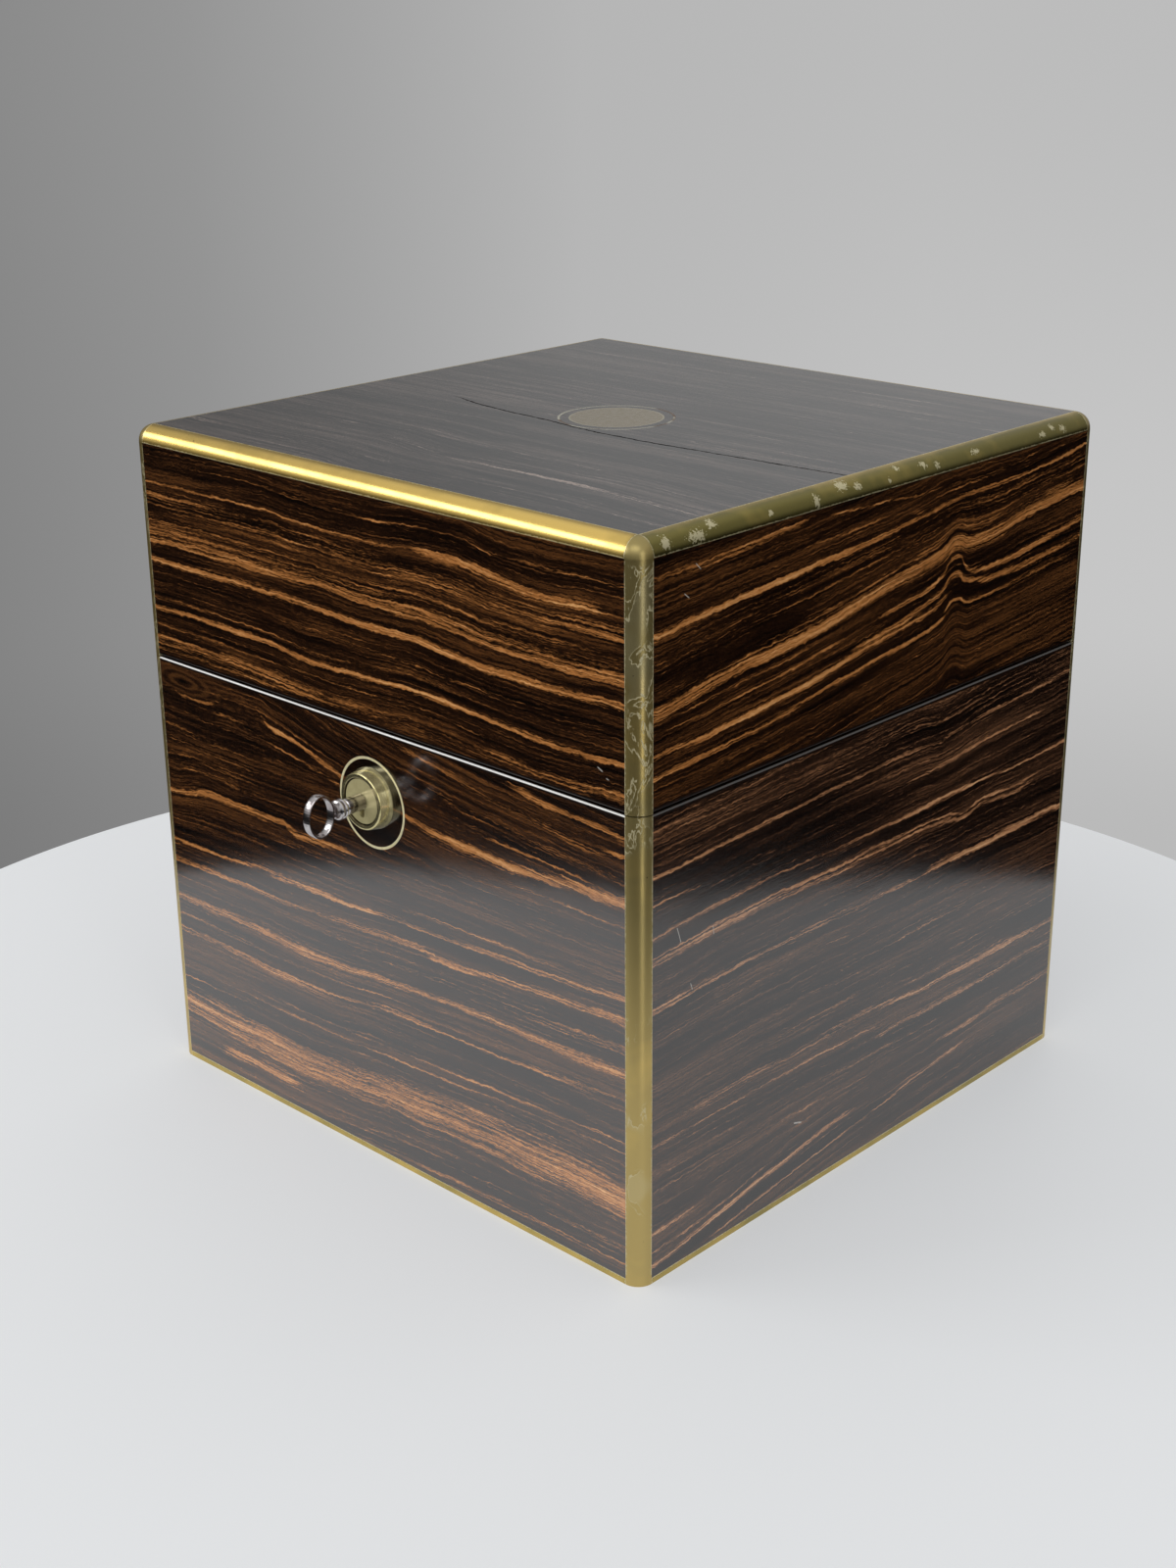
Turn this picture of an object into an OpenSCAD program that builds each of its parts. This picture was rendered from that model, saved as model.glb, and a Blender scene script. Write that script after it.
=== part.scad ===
// A square antique decanter box in striped dark veneer with brass edges: a base that
// holds four decanters, a hinged lid, and a box lock with its key in the front.
// The front of the box looks along -Y, and the origin is the middle of its underside.

/* [Box] */
// Width of the box, left to right
box_w = 240; // [220:1:270]
// Depth of the box, front to back
box_d = 240; // [220:1:270]
// Height of the closed box
box_h = 246; // [236:1:260]
// Height of the base, up to its rim
base_h = 162; // [152:1:170]
// Gap between the rims of the base and the lid
rim_gap = 0.9; // [0.6:0.1:1.4]

/* [Boards] */
// Thickness of the wall boards
board_t = 11; // [10:0.5:13]
// Thickness of the lid's top board
top_t = 10; // [8:0.5:12]
// Thickness of the bottom board
bottom_t = 9; // [7:0.5:12]
// Thickness of the face veneer
veneer_t = 1; // [0.8:0.1:1.5]
// Thickness of the strips that face the rims
rim_t = 1.2; // [1:0.1:1.6]
// Radius of the rounded outer edge of a rim strip
rim_round = 0.6; // [0.3:0.1:0.8]
// Height that one dovetail and its socket take
tail_pitch = 27; // [22:1:40]
// Thickness of the cloth under the box
baize_t = 0.8; // [0.5:0.1:1.2]

/* [Brass edging] */
// Radius of the quarter-round brass on the edges and corners
edge_w = 5.9; // [5:0.1:8]
// Gap between the brass corners of the lid and of the base
brass_gap = 0.4; // [0.3:0.1:0.5]
// Height of the brass strip round the foot
foot_h = 2.2; // [1.8:0.1:4]
// Depth of the foot strip into the box
foot_w = 5; // [4:0.5:8]

/* [Inlays] */
// Diameter of the plain brass disc in the lid
disc_d = 33.6; // [26:0.1:50]
// Veneer left between the disc and its ring
disc_margin = 3.1; // [2:0.1:6]
// Width of an inlaid brass line
line_w = 0.9; // [0.7:0.1:1.5]
// Outer diameter of the brass line round the lock
lock_ring_d = 32.3; // [30:0.1:38]
// Drop of that line's centre below the key's axis
lock_ring_drop = 1.9; // [0:0.1:2.5]

/* [Linings] */
// Thickness of the cloth-covered boards that line the walls
lining_t = 3; // [2:0.5:4]
// Bare margin between a rim and its lining
lining_margin = 8; // [5:1:14]
// Thickness of the floor pad
floor_pad_t = 2.5; // [2:0.5:5]
// Thickness of the pad inside the top of the lid
lid_pad_t = 6; // [4:0.5:8]
// Thickness of the dividers between the decanters
divider_t = 7; // [5:0.5:10]
// Height of the dividers
divider_h = 92; // [70:1:105]

/* [Decanters] */
// Clearance round each decanter in its compartment
decanter_clear = 2.5; // [1.5:0.5:5]
// Height of a decanter's domed shoulders
shoulder_h = 28; // [20:1:40]
// Width of the bevels on a decanter's four corners
decanter_bevel = 11; // [6:0.5:16]
// Thickness of the glass walls
glass_t = 5; // [4:0.5:7]
// Outer radius of the neck
neck_r = 15; // [14:0.5:18]
// Radius of the flared lip
lip_r = 22; // [20:0.5:26]
// Length of the neck, with its lip
neck_len = 30; // [26:1:34]
// Radius of the mouth that takes the stopper
mouth_r = 10.5; // [9:0.5:11]
// Width of the cut ball on a stopper
ball_w = 41; // [34:1:42]
// Height of a stopper between the lip and its ball
stopper_neck = 13; // [9:0.5:18]
// Headroom over the stoppers
stopper_clear = 9; // [6:1:12]

/* [Hinges] */
// Length of each hinge
hinge_len = 40; // [34:1:60]
// Distance of each hinge's outer end from the side of the box
hinge_inset = 32; // [20:1:50]
// Depth of a hinge leaf into the wall
leaf_d = 9.5; // [9:0.1:10.5]
// Thickness of a hinge leaf
leaf_t = 1.8; // [1.6:0.1:2.4]
// Radius of the hinge knuckles
knuckle_r = 2.6; // [2.4:0.1:3.2]
// Radius of the hinge pins
pin_r = 1.2; // [1:0.1:1.5]
// Distance of the pins behind the back of the box
hinge_out = 0.7; // [0.5:0.1:1.2]
// Angle at which the stops of the hinges meet
stop_angle = 98; // [94:1:110]

/* [Lock] */
// Distance of the key's axis below the rim of the base
lock_drop = 24.5; // [24:0.5:28]
// Width of the lock case
case_w = 56; // [54:1:70]
// Height of the lock case below its top plate
case_h = 36; // [34:0.5:42]
// Wood left in front of the lock case, with the veneer
lock_cover = 4; // [3.5:0.1:4.5]
// Thickness of the case's front and side plates
plate_t = 1.2; // [1:0.1:1.4]
// Thickness of the lock's top plate and of the plate in the lid
top_plate_t = 2.2; // [2:0.1:2.8]
// Length of the lock's top plate
top_plate_l = 74; // [73:1:90]
// Radius of the barrel round the keyhole, at its rim
barrel_r = 9.9; // [9.7:0.1:11]
// Widening of the barrel from its rim to the face of the box
barrel_flare = 0.8; // [0.2:0.1:1.2]
// Length of the barrel in front of the box
barrel_out = 5; // [4:0.5:7]
// Radius of the plug that turns in the barrel
plug_r = 8.1; // [7.6:0.1:8.4]
// Thickness of the bolt
bolt_t = 2.4; // [2:0.1:2.6]
// Travel of the bolt
bolt_throw = 5; // [4:0.5:5.5]
// Thickness of the links on the lid's plate
link_t = 3; // [2.6:0.1:3.4]
// Distance of each link from the middle of the lock
link_x = 13; // [12:0.5:14]

/* [Key] */
// Radius of the key's shank inside the lock
shank_r = 2; // [1.7:0.05:2.1]
// Radius of the shank in front of the lock, where it is thicker
stem_r = 2.8; // [2.2:0.05:3]
// Reach of the key's bit from the axis
bit_r = 5.2; // [5.1:0.1:5.9]
// Thickness of the bit
bit_t = 1.8; // [1.2:0.1:2]
// Length of the shank in front of the box
shank_out = 17; // [14:0.5:24]
// Width of the bow, across the shank
bow_w = 15.2; // [12:0.1:22]
// Length of the bow, along the shank
bow_l = 11.4; // [10:0.1:18]
// Width of the bow's band, across the ring
band_w = 3.3; // [1.8:0.1:3.5]
// Thickness of the bow's band
band_t = 1.2; // [1:0.1:1.6]

/* [Hidden] */
$fn = 64;
over = 1;             // how far a cutter runs past a face
let_in = 0.1;         // play round hardware let into wood
inlay_fit = 0.03;     // play round an inlay
running = 0.03;       // radial play of a pin or shank in its bore
knuckle_play = 0.15;  // play between two knuckles
sweep_play = 0.2;     // play between a knuckle and what turns round it
slide_play = 0.2;     // play beside a sliding part
seam_play = 0.05;     // glue line between butted or mitred pieces
thin_r = 0.3;         // a small edge rounding
half_w = box_w / 2;
half_d = box_d / 2;
wall_t = board_t + veneer_t;
in_w = box_w - 2 * wall_t;   // width between the walls
in_d = box_d - 2 * wall_t;
core_w = half_w - veneer_t;  // half width of the wooden core
core_d = half_d - veneer_t;
flat_w = half_w - edge_w;    // half width of the veneer between the brass corners
flat_d = half_d - edge_w;
lid_z = base_h + rim_gap;            // underside of the lid's rim
corner_z = base_h + brass_gap;       // underside of the lid's brass corners
base_wood_top = base_h - rim_t;      // top of the base's boards
lid_wood_z = lid_z + rim_t;          // underside of the lid's boards
top_z = box_h - veneer_t - top_t;    // underside of the lid's top board
floor_z = baize_t + bottom_t;
stand_z = floor_z + floor_pad_t;     // where the decanters stand
lid_pad_z = top_z - lid_pad_t;
tail_slope = 1 / 7;
neck_step = 1.2;      // flat ring between a neck and its shoulders

cell_w = (in_w - 2 * lining_t - divider_t) / 2;
cell_d = (in_d - 2 * lining_t - divider_t) / 2;
cell_x = (cell_w + divider_t) / 2;
cell_y = (cell_d + divider_t) / 2;
decanter_w = cell_w - 2 * decanter_clear;
decanter_d = cell_d - 2 * decanter_clear;
ball_z = lid_pad_z - stopper_clear - ball_w / 2;  // centre of a stopper's ball
lip_z = ball_z - ball_w / 2 - stopper_neck;       // top of a decanter
decanter_h = lip_z - stand_z;
decanter_side_h = decanter_h - neck_len - shoulder_h;

hinge_x = half_w - hinge_inset - hinge_len / 2;  // middle of each hinge
hinge_y = half_d + hinge_out;
hinge_z = base_h + rim_gap / 2;
lug_reach = knuckle_r + 0.8;   // how far a hinge's stop reaches behind the pin
lug_h = 7.2;                   // height of a stop from the pin
screw_r = 1.2;
screw_head_r = 2.4;
screw_head_h = 1.4;
screw_len = 8;
leaf_screws = 3;

lock_z = base_h - lock_drop;
case_y = -half_d + lock_cover;       // front of the lock case
case_back = -half_d + wall_t;        // back of the lock, level with the wall
cap_t = 1;
case_top = base_h - top_plate_t;
case_z = case_top - case_h;
bolt_y = (case_y + plate_t + case_back - cap_t) / 2;  // middle plane of the bolt
bolt_start = -bolt_throw / 2;        // place of the bolt's middle when unlocked
bolt_half = 21.5;
bolt_foot = lock_z + 4.6;
bolt_head = case_top - slide_play;
tongue_h = 2.4;
link_depth = 8.6;                     // reach of a link below the top plate
link_w = bolt_t + 2;
link_eye_h = tongue_h + 1.4;
tongue_z = case_top - link_depth / 2 - 0.8;  // middle height of tongues and eyes
stump_r = 1.2;
stump_drop = 12.6;    // depth of the bolt's guide stumps below the top plate
stump_x = 15;
stump_z = case_top - stump_drop;
barrel_front = -half_d - barrel_out;
plug_front = barrel_front + 0.5;
tube_r = 3.3;                        // the plug's tail inside the case
keyway_w = bit_t + 0.4;
keyway_r = bit_r + 0.6;
drill_pin_r = 0.85;
shank_end = case_back - cap_t - 0.3;
bit_front = case_y + plate_t + slide_play;
bow_y = -half_d - shank_out - bow_l / 2;   // centre of the bow

// Shapes that several pieces share

module block(low, high) {
  translate(low) cube(high - low);
}

module at_corners() {
  for (mx = [0, 1], my = [0, 1])
    mirror([mx, 0, 0]) mirror([0, my, 0]) children();
}

// A quarter of a cylinder along +Z, in the corner of +X and +Y
module quarter(h, r) {
  intersection() {
    cylinder(h = h, r = r);
    cube([r, r, h]);
  }
}

// The square seats of the corner brass, for cutting
module corner_seats() {
  at_corners() block([flat_w, flat_d, -over], [half_w + over, half_d + over, box_h + over]);
}

// A countersunk screw, driven down from the origin
module screw(play = 0) {
  rotate_extrude() polygon([
    [0, 0], [screw_head_r + play, 0], [screw_r + play, -screw_head_h],
    [screw_r + play, -screw_len + 2 * screw_r], [0, -screw_len - play]
  ]);
}

module slotted_screw() {
  difference() {
    screw();
    block([-screw_head_r - over, -0.3, -0.6], [screw_head_r + over, 0.3, over]);
  }
}

// Walls

// Tails at the +Y end of a right-hand wall, from z0 to z1
module tails(z0, z1) {
  n = max(1, round((z1 - z0) / tail_pitch));
  pitch = (z1 - z0) / n;
  root = pitch / 2 - board_t * tail_slope;
  tip = pitch / 2 + board_t * tail_slope;
  for (i = [0 : n - 1])
    translate([in_w / 2, 0, z0 + (i + 0.5) * pitch])
      rotate([90, 0, 90]) linear_extrude(board_t)
        polygon([[in_d / 2 - over, -root / 2], [in_d / 2, -root / 2], [core_d, -tip / 2],
                 [core_d, tip / 2], [in_d / 2, root / 2], [in_d / 2 - over, root / 2]]);
}

module foot_seat() {
  difference() {
    block([-half_w - over, -half_d - over, -over], [half_w + over, half_d + over, foot_h]);
    block([-half_w + foot_w, -half_d + foot_w, -2 * over],
          [half_w - foot_w, half_d - foot_w, foot_h + over]);
  }
}

// A back wall, which the tails of the side walls pass through
module long_wall(z0, z1) {
  difference() {
    block([-core_w, in_d / 2, z0], [core_w, core_d, z1]);
    for (mx = [0, 1]) mirror([mx, 0, 0]) tails(z0, z1);
    corner_seats();
    foot_seat();
  }
}

module side_wall(z0, z1) {
  difference() {
    union() {
      block([in_w / 2, -in_d / 2, z0], [core_w, in_d / 2, z1]);
      for (my = [0, 1]) mirror([0, my, 0]) tails(z0, z1);
    }
    corner_seats();
    foot_seat();
  }
}

module base_front_wall() {
  color("saddlebrown") difference() {
    mirror([0, 1, 0]) long_wall(baize_t, base_wood_top);
    lock_seat();
  }
}

module base_back_wall() {
  color("saddlebrown") difference() {
    long_wall(baize_t, base_wood_top);
    hinge_seats();
  }
}

module base_left_wall() {
  color("saddlebrown") mirror([1, 0, 0]) side_wall(baize_t, base_wood_top);
}

module base_right_wall() {
  color("saddlebrown") side_wall(baize_t, base_wood_top);
}

module base_bottom_board() {
  color("saddlebrown") block([-in_w / 2, -in_d / 2, baize_t], [in_w / 2, in_d / 2, floor_z]);
}

module lid_front_wall() {
  color("saddlebrown") difference() {
    mirror([0, 1, 0]) long_wall(lid_wood_z, top_z);
    link_seat();
  }
}

module lid_back_wall() {
  color("saddlebrown") difference() {
    long_wall(lid_wood_z, top_z);
    upper() hinge_seats();
  }
}

module lid_left_wall() {
  color("saddlebrown") mirror([1, 0, 0]) side_wall(lid_wood_z, top_z);
}

module lid_right_wall() {
  color("saddlebrown") side_wall(lid_wood_z, top_z);
}

module lid_top_board() {
  color("saddlebrown") difference() {
    union() {
      block([-core_w, -core_d, top_z], [core_w, core_d, box_h - edge_w]);
      block([-flat_w, -flat_d, top_z], [flat_w, flat_d, box_h - veneer_t]);
    }
    corner_seats();
  }
}

// Veneer

module long_veneer(z0, z1) {
  block([-flat_w, core_d, z0], [flat_w, half_d, z1]);
}

module side_veneer(z0, z1) {
  block([core_w, -flat_d, z0], [half_w, flat_d, z1]);
}

module ring_slot(d, play) {
  difference() {
    cylinder(h = veneer_t + 2 * over, r = d / 2 + play);
    translate([0, 0, -over])
      cylinder(h = veneer_t + 4 * over, r = d / 2 - line_w - play);
  }
}

// Puts a shape that points along +Z on the front, centred below the key's axis
module on_front(depth, drop) {
  translate([0, -half_d + depth, lock_z - drop]) rotate([90, 0, 0]) children();
}

module base_front_veneer() {
  color("saddlebrown") difference() {
    mirror([0, 1, 0]) long_veneer(foot_h, base_wood_top);
    on_front(veneer_t + over, 0)
      cylinder(h = veneer_t + 2 * over, r = barrel_r + let_in);
    on_front(veneer_t + over, lock_ring_drop) ring_slot(lock_ring_d, inlay_fit);
  }
}

module base_back_veneer() {
  color("saddlebrown") difference() {
    long_veneer(foot_h, base_wood_top);
    hinge_seats();
  }
}

module base_left_veneer() {
  color("saddlebrown") mirror([1, 0, 0]) side_veneer(foot_h, base_wood_top);
}

module base_right_veneer() {
  color("saddlebrown") side_veneer(foot_h, base_wood_top);
}

module lid_front_veneer() {
  color("saddlebrown") mirror([0, 1, 0]) long_veneer(lid_wood_z, box_h - edge_w);
}

module lid_back_veneer() {
  color("saddlebrown") difference() {
    long_veneer(lid_wood_z, box_h - edge_w);
    upper() hinge_seats();
  }
}

module lid_left_veneer() {
  color("saddlebrown") mirror([1, 0, 0]) side_veneer(lid_wood_z, box_h - edge_w);
}

module lid_right_veneer() {
  color("saddlebrown") side_veneer(lid_wood_z, box_h - edge_w);
}

disc_ring_d = disc_d + 2 * disc_margin + 2 * line_w;

module lid_top_veneer() {
  color("saddlebrown") difference() {
    block([-flat_w, -flat_d, box_h - veneer_t], [flat_w, flat_d, box_h]);
    translate([0, 0, box_h - veneer_t - over]) {
      cylinder(h = veneer_t + 2 * over, r = disc_d / 2 + inlay_fit);
      ring_slot(disc_ring_d, inlay_fit);
    }
  }
}

// Brass edging and inlays

module base_corner_brass() {
  color("darkgoldenrod") at_corners() translate([flat_w, flat_d, 0]) quarter(base_h, edge_w);
}

module base_foot_brass() {
  color("darkgoldenrod") {
    for (my = [0, 1]) mirror([0, my, 0])
      block([-flat_w, half_d - foot_w, 0], [flat_w, half_d, foot_h]);
    for (mx = [0, 1]) mirror([mx, 0, 0])
      block([half_w - foot_w, -flat_d, 0], [half_w, flat_d, foot_h]);
  }
}

// A corner upright of the lid, with its domed top
module lid_corner() {
  quarter(box_h - edge_w - corner_z, edge_w);
  translate([0, 0, box_h - edge_w - corner_z]) intersection() {
    sphere(r = edge_w);
    cube(edge_w);
  }
}

module lid_corner_brass() {
  color("darkgoldenrod") at_corners() translate([flat_w, flat_d, corner_z]) lid_corner();
}

module lid_edge_brass() {
  color("darkgoldenrod") {
    for (my = [0, 1]) mirror([0, my, 0])
      translate([-flat_w, flat_d, box_h - edge_w]) rotate([90, 0, 90])
        quarter(2 * flat_w, edge_w);
    for (mx = [0, 1]) mirror([mx, 0, 0])
      translate([flat_w, flat_d, box_h - edge_w]) rotate([90, 0, 0])
        quarter(2 * flat_d, edge_w);
  }
}

module lid_disc_inlay() {
  color("darkgoldenrod") translate([0, 0, box_h - veneer_t])
    cylinder(h = veneer_t, r = disc_d / 2);
}

module line_ring(d) {
  difference() {
    cylinder(h = veneer_t, r = d / 2);
    translate([0, 0, -over]) cylinder(h = veneer_t + 2 * over, r = d / 2 - line_w);
  }
}

module lid_ring_inlay() {
  color("darkgoldenrod") translate([0, 0, box_h - veneer_t]) line_ring(disc_ring_d);
}

module lock_ring_inlay() {
  color("darkgoldenrod") on_front(veneer_t, lock_ring_drop) line_ring(lock_ring_d);
}

// Rim strips

// A strip on top of the back wall, mitred at both ends, with a rounded outer edge.
// w and d are the half width and half depth of the box in the strip's own frame.
module rim_strip(w, d) {
  mitre_x = w - edge_w - seam_play;
  difference() {
    linear_extrude(rim_t) polygon([
      [-w + edge_w, d], [w - edge_w, d], [w - edge_w, d - edge_w], [mitre_x, d - edge_w],
      [mitre_x - wall_t + edge_w, d - wall_t], [-mitre_x + wall_t - edge_w, d - wall_t],
      [-mitre_x, d - edge_w], [-w + edge_w, d - edge_w]
    ]);
    translate([-w, d - rim_round, rim_t - rim_round]) difference() {
      cube([2 * w, rim_round + over, rim_round + over]);
      rotate([0, 90, 0]) translate([0, 0, -over])
        cylinder(h = 2 * w + 2 * over, r = rim_round);
    }
  }
}

module rim_frame() {
  for (a = [0, 180]) rotate([0, 0, a]) rim_strip(half_w, half_d);
  for (a = [90, 270]) rotate([0, 0, a]) rim_strip(half_d, half_w);
}

module base_rim_facing() {
  color("#2a1a12") difference() {
    translate([0, 0, base_wood_top]) rim_frame();
    hinge_seats();
    lock_seat();
  }
}

module lid_rim_facing() {
  color("#2a1a12") difference() {
    translate([0, 0, lid_wood_z]) mirror([0, 0, 1]) rim_frame();
    upper() hinge_seats();
    link_seat();
  }
}

// Cloth and linings

module underside_baize() {
  color("darkolivegreen") difference() {
    block([-half_w + foot_w, -half_d + foot_w, 0], [half_w - foot_w, half_d - foot_w, baize_t]);
    corner_seats();
  }
}

module floor_pad() {
  color("midnightblue") block([-in_w / 2 + lining_t, -in_d / 2 + lining_t, floor_z],
                              [in_w / 2 - lining_t, in_d / 2 - lining_t, stand_z]);
}

// Four lining boards, the side ones butted between the other two
module lining(z0, z1) {
  for (my = [0, 1]) mirror([0, my, 0])
    block([-in_w / 2, in_d / 2 - lining_t, z0], [in_w / 2, in_d / 2, z1]);
  for (mx = [0, 1]) mirror([mx, 0, 0])
    block([in_w / 2 - lining_t, -in_d / 2 + lining_t + seam_play, z0],
          [in_w / 2, in_d / 2 - lining_t - seam_play, z1]);
}

module base_lining() {
  color("midnightblue") lining(floor_z, base_h - lining_margin);
}

module lid_lining() {
  color("midnightblue") lining(lid_z + lining_margin, top_z);
}

module lid_pad() {
  color("midnightblue") block([-in_w / 2 + lining_t, -in_d / 2 + lining_t, lid_pad_z],
                              [in_w / 2 - lining_t, in_d / 2 - lining_t, top_z]);
}

// A divider along X, with a halving slot from z0 to z1
module divider(length, z0, z1) {
  difference() {
    block([-length / 2, -divider_t / 2, stand_z],
          [length / 2, divider_t / 2, stand_z + divider_h]);
    block([-divider_t / 2 - let_in, -divider_t, z0], [divider_t / 2 + let_in, divider_t, z1]);
  }
}

module divider_long() {
  color("midnightblue") divider(in_w - 2 * lining_t, stand_z + divider_h / 2,
                                stand_z + divider_h + over);
}

module divider_cross() {
  color("midnightblue") rotate([0, 0, 90])
    divider(in_d - 2 * lining_t, stand_z - over, stand_z + divider_h / 2);
}

// Decanters and stoppers

function arc(cx, cy, r, a0, a1, n) =
  [for (i = [0 : n]) let (a = a0 + (a1 - a0) * i / n) [cx + r * cos(a), cy + r * sin(a)]];

// The square plan of a decanter with bevelled corners, inset by the wall
module decanter_plan(inset) {
  w = decanter_w / 2 - inset;
  d = decanter_d / 2 - inset;
  b = decanter_bevel - inset * (2 - sqrt(2));
  polygon([[w, d - b], [w - b, d], [-w + b, d], [-w, d - b],
           [-w, -d + b], [-w + b, -d], [w - b, -d], [w, -d + b]]);
}

shoulder_r = sqrt(pow(decanter_w / 2, 2) + pow(decanter_d / 2, 2));  // past the corners

// Outer outline of the shoulders, falling in a quarter of an oval from the neck
function shoulder(r0, r1, z0, rise, n) =
  [for (i = [0 : n]) let (a = 90 * i / n)
    [r1 - (r1 - r0) * (1 - cos(a)), z0 + rise * sin(a)]];

module decanter_body() {
  side_top = decanter_side_h;
  neck_z = decanter_h - neck_len;
  lip_t = 5;
  lip_foot = neck_len - lip_t - (lip_r - neck_r);
  intersection() {
    linear_extrude(neck_z) decanter_plan(0);
    rotate_extrude() polygon(concat(
      [[0, 0], [shoulder_r, 0]],
      shoulder(neck_r + neck_step, shoulder_r, side_top - shoulder_h / 2,
               shoulder_h * 1.5, 10),
      [[0, neck_z]]));
  }
  translate([0, 0, neck_z]) {
    translate([0, 0, -over]) rotate([0, 0, 22.5])
      cylinder(h = neck_len - lip_t, r = neck_r, $fn = 8);
    translate([0, 0, lip_foot]) rotate_extrude() polygon([
      [0, 0], [neck_r * cos(22.5) - 0.5, 0], [lip_r - 0.6, neck_len - lip_t - lip_foot],
      [lip_r, neck_len - lip_t - lip_foot + 0.8], [lip_r, neck_len - lip_foot - 0.8],
      [lip_r - 0.8, neck_len - lip_foot], [0, neck_len - lip_foot]
    ]);
  }
}

module decanter_hollow() {
  base_t = glass_t * 1.6;
  neck_z = decanter_h - neck_len;
  intersection() {
    translate([0, 0, base_t]) linear_extrude(neck_z) decanter_plan(glass_t);
    rotate_extrude() polygon(concat(
      [[0, base_t], [shoulder_r - glass_t, base_t]],
      shoulder(mouth_r + neck_step, shoulder_r - glass_t,
               decanter_side_h - shoulder_h / 2 - glass_t,
               shoulder_h * 1.5, 10),
      [[0, neck_z - glass_t]]));
  }
  translate([0, 0, neck_z - glass_t - over])
    cylinder(h = neck_len + glass_t + 2 * over, r = mouth_r);
}

module decanter() {
  color("aliceblue", 0.5) difference() {
    decanter_body();
    decanter_hollow();
  }
}

plug_len = 20;  // ground part of a stopper in the neck

module stopper() {
  rise = ball_z - lip_z;
  seat_r = ball_w / 2 * 0.66;
  color("aliceblue", 0.5) {
    translate([0, 0, -plug_len]) cylinder(h = plug_len, r1 = mouth_r - 0.9, r2 = mouth_r - 0.1);
    cylinder(h = 3, r1 = mouth_r + 3, r2 = mouth_r + 4);
    translate([0, 0, 3]) cylinder(h = rise - 3 - ball_w * 0.3, r1 = mouth_r + 1, r2 = seat_r);
    translate([0, 0, rise]) intersection() {
      cut_prism();
      rotate([90, 0, 0]) cut_prism();
      rotate([0, 90, 0]) cut_prism();
    }
  }
}

// An eight-sided bar, one of three whose overlap is the cut ball
module cut_prism() {
  rotate([0, 0, 22.5]) cylinder(h = ball_w, r = ball_w / 2 / cos(22.5), center = true, $fn = 8);
}

module decanter_at(sx, sy) {
  translate([sx * cell_x, sy * cell_y, stand_z]) decanter();
}

module stopper_at(sx, sy) {
  translate([sx * cell_x, sy * cell_y, lip_z]) stopper();
}

// Hinges

// Mirrors what belongs to the base up into the lid
module upper() {
  translate([0, 0, 2 * hinge_z]) mirror([0, 0, 1]) children();
}

module on_pin_axis(x, length) {
  translate([x - length / 2, hinge_y, hinge_z]) rotate([0, 90, 0]) children();
}

knuckles = 5;
knuckle_len = hinge_len / knuckles;
leaf_screw_y = half_d - leaf_d / 2 - 0.8;

function knuckle_x(i) = -hinge_len / 2 + (i + 0.5) * knuckle_len;

function leaf_screw_x(i) = (i - (leaf_screws - 1) / 2) * hinge_len / leaf_screws;

// The leaf in the base: a plate with a stop behind the pin, and every second knuckle
module hinge_leaf(first) {
  a = stop_angle / 2;
  difference() {
    union() {
      block([-hinge_len / 2, half_d - leaf_d, base_h - leaf_t],
            [hinge_len / 2, hinge_y, base_h]);
      translate([-hinge_len / 2, hinge_y, hinge_z]) rotate([90, 0, 90])
        linear_extrude(hinge_len) polygon([
          [-hinge_out, -lug_h], [lug_reach - 1, -lug_h], [lug_reach, -lug_h + 1],
          [lug_reach, -lug_reach * tan(a)], [rim_gap / 2 / tan(a), -rim_gap / 2],
          [-hinge_out, -rim_gap / 2]
        ]);
    }
    for (i = [1 - first : 2 : knuckles - 1])
      on_pin_axis(knuckle_x(i), knuckle_len + knuckle_play)
        cylinder(h = knuckle_len + knuckle_play, r = knuckle_r + sweep_play);
    on_pin_axis(0, hinge_len + 2 * over)
      cylinder(h = hinge_len + 2 * over, r = knuckle_r - 0.5);
    for (i = [0 : leaf_screws - 1])
      translate([leaf_screw_x(i), leaf_screw_y, base_h]) screw(running);
  }
  for (i = [first : 2 : knuckles - 1])
    on_pin_axis(knuckle_x(i), knuckle_len - knuckle_play) difference() {
      cylinder(h = knuckle_len - knuckle_play, r = knuckle_r);
      translate([0, 0, -over])
        cylinder(h = knuckle_len + 2 * over, r = pin_r + running);
    }
}

// What the back wall of the base loses to both hinges and their screws
module hinge_seats() {
  for (sx = [-1, 1]) translate([sx * hinge_x, 0, 0]) {
    block([-hinge_len / 2 - let_in, half_d - leaf_d - let_in, base_h - leaf_t],
          [hinge_len / 2 + let_in, half_d + over, base_h + over]);
    on_pin_axis(0, hinge_len + 2 * let_in)
      cylinder(h = hinge_len + 2 * let_in, r = knuckle_r + 1.5 * sweep_play);
    for (i = [0 : leaf_screws - 1])
      translate([leaf_screw_x(i), leaf_screw_y, base_h]) screw(running);
  }
}

module hinge_base_leaf(sx) {
  color("darkgoldenrod") translate([sx * hinge_x, 0, 0]) hinge_leaf(0);
}

module hinge_lid_leaf(sx) {
  color("darkgoldenrod") translate([sx * hinge_x, 0, 0]) upper() hinge_leaf(1);
}

module hinge_pins() {
  color("silver") for (sx = [-1, 1])
    on_pin_axis(sx * hinge_x, hinge_len) cylinder(h = hinge_len, r = pin_r);
}

module leaf_screw_set() {
  for (sx = [-1, 1], i = [0 : leaf_screws - 1])
    translate([sx * hinge_x + leaf_screw_x(i), leaf_screw_y, base_h]) slotted_screw();
}

module hinge_base_screws() {
  color("goldenrod") leaf_screw_set();
}

module hinge_lid_screws() {
  color("goldenrod") upper() leaf_screw_set();
}

// Lock

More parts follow.
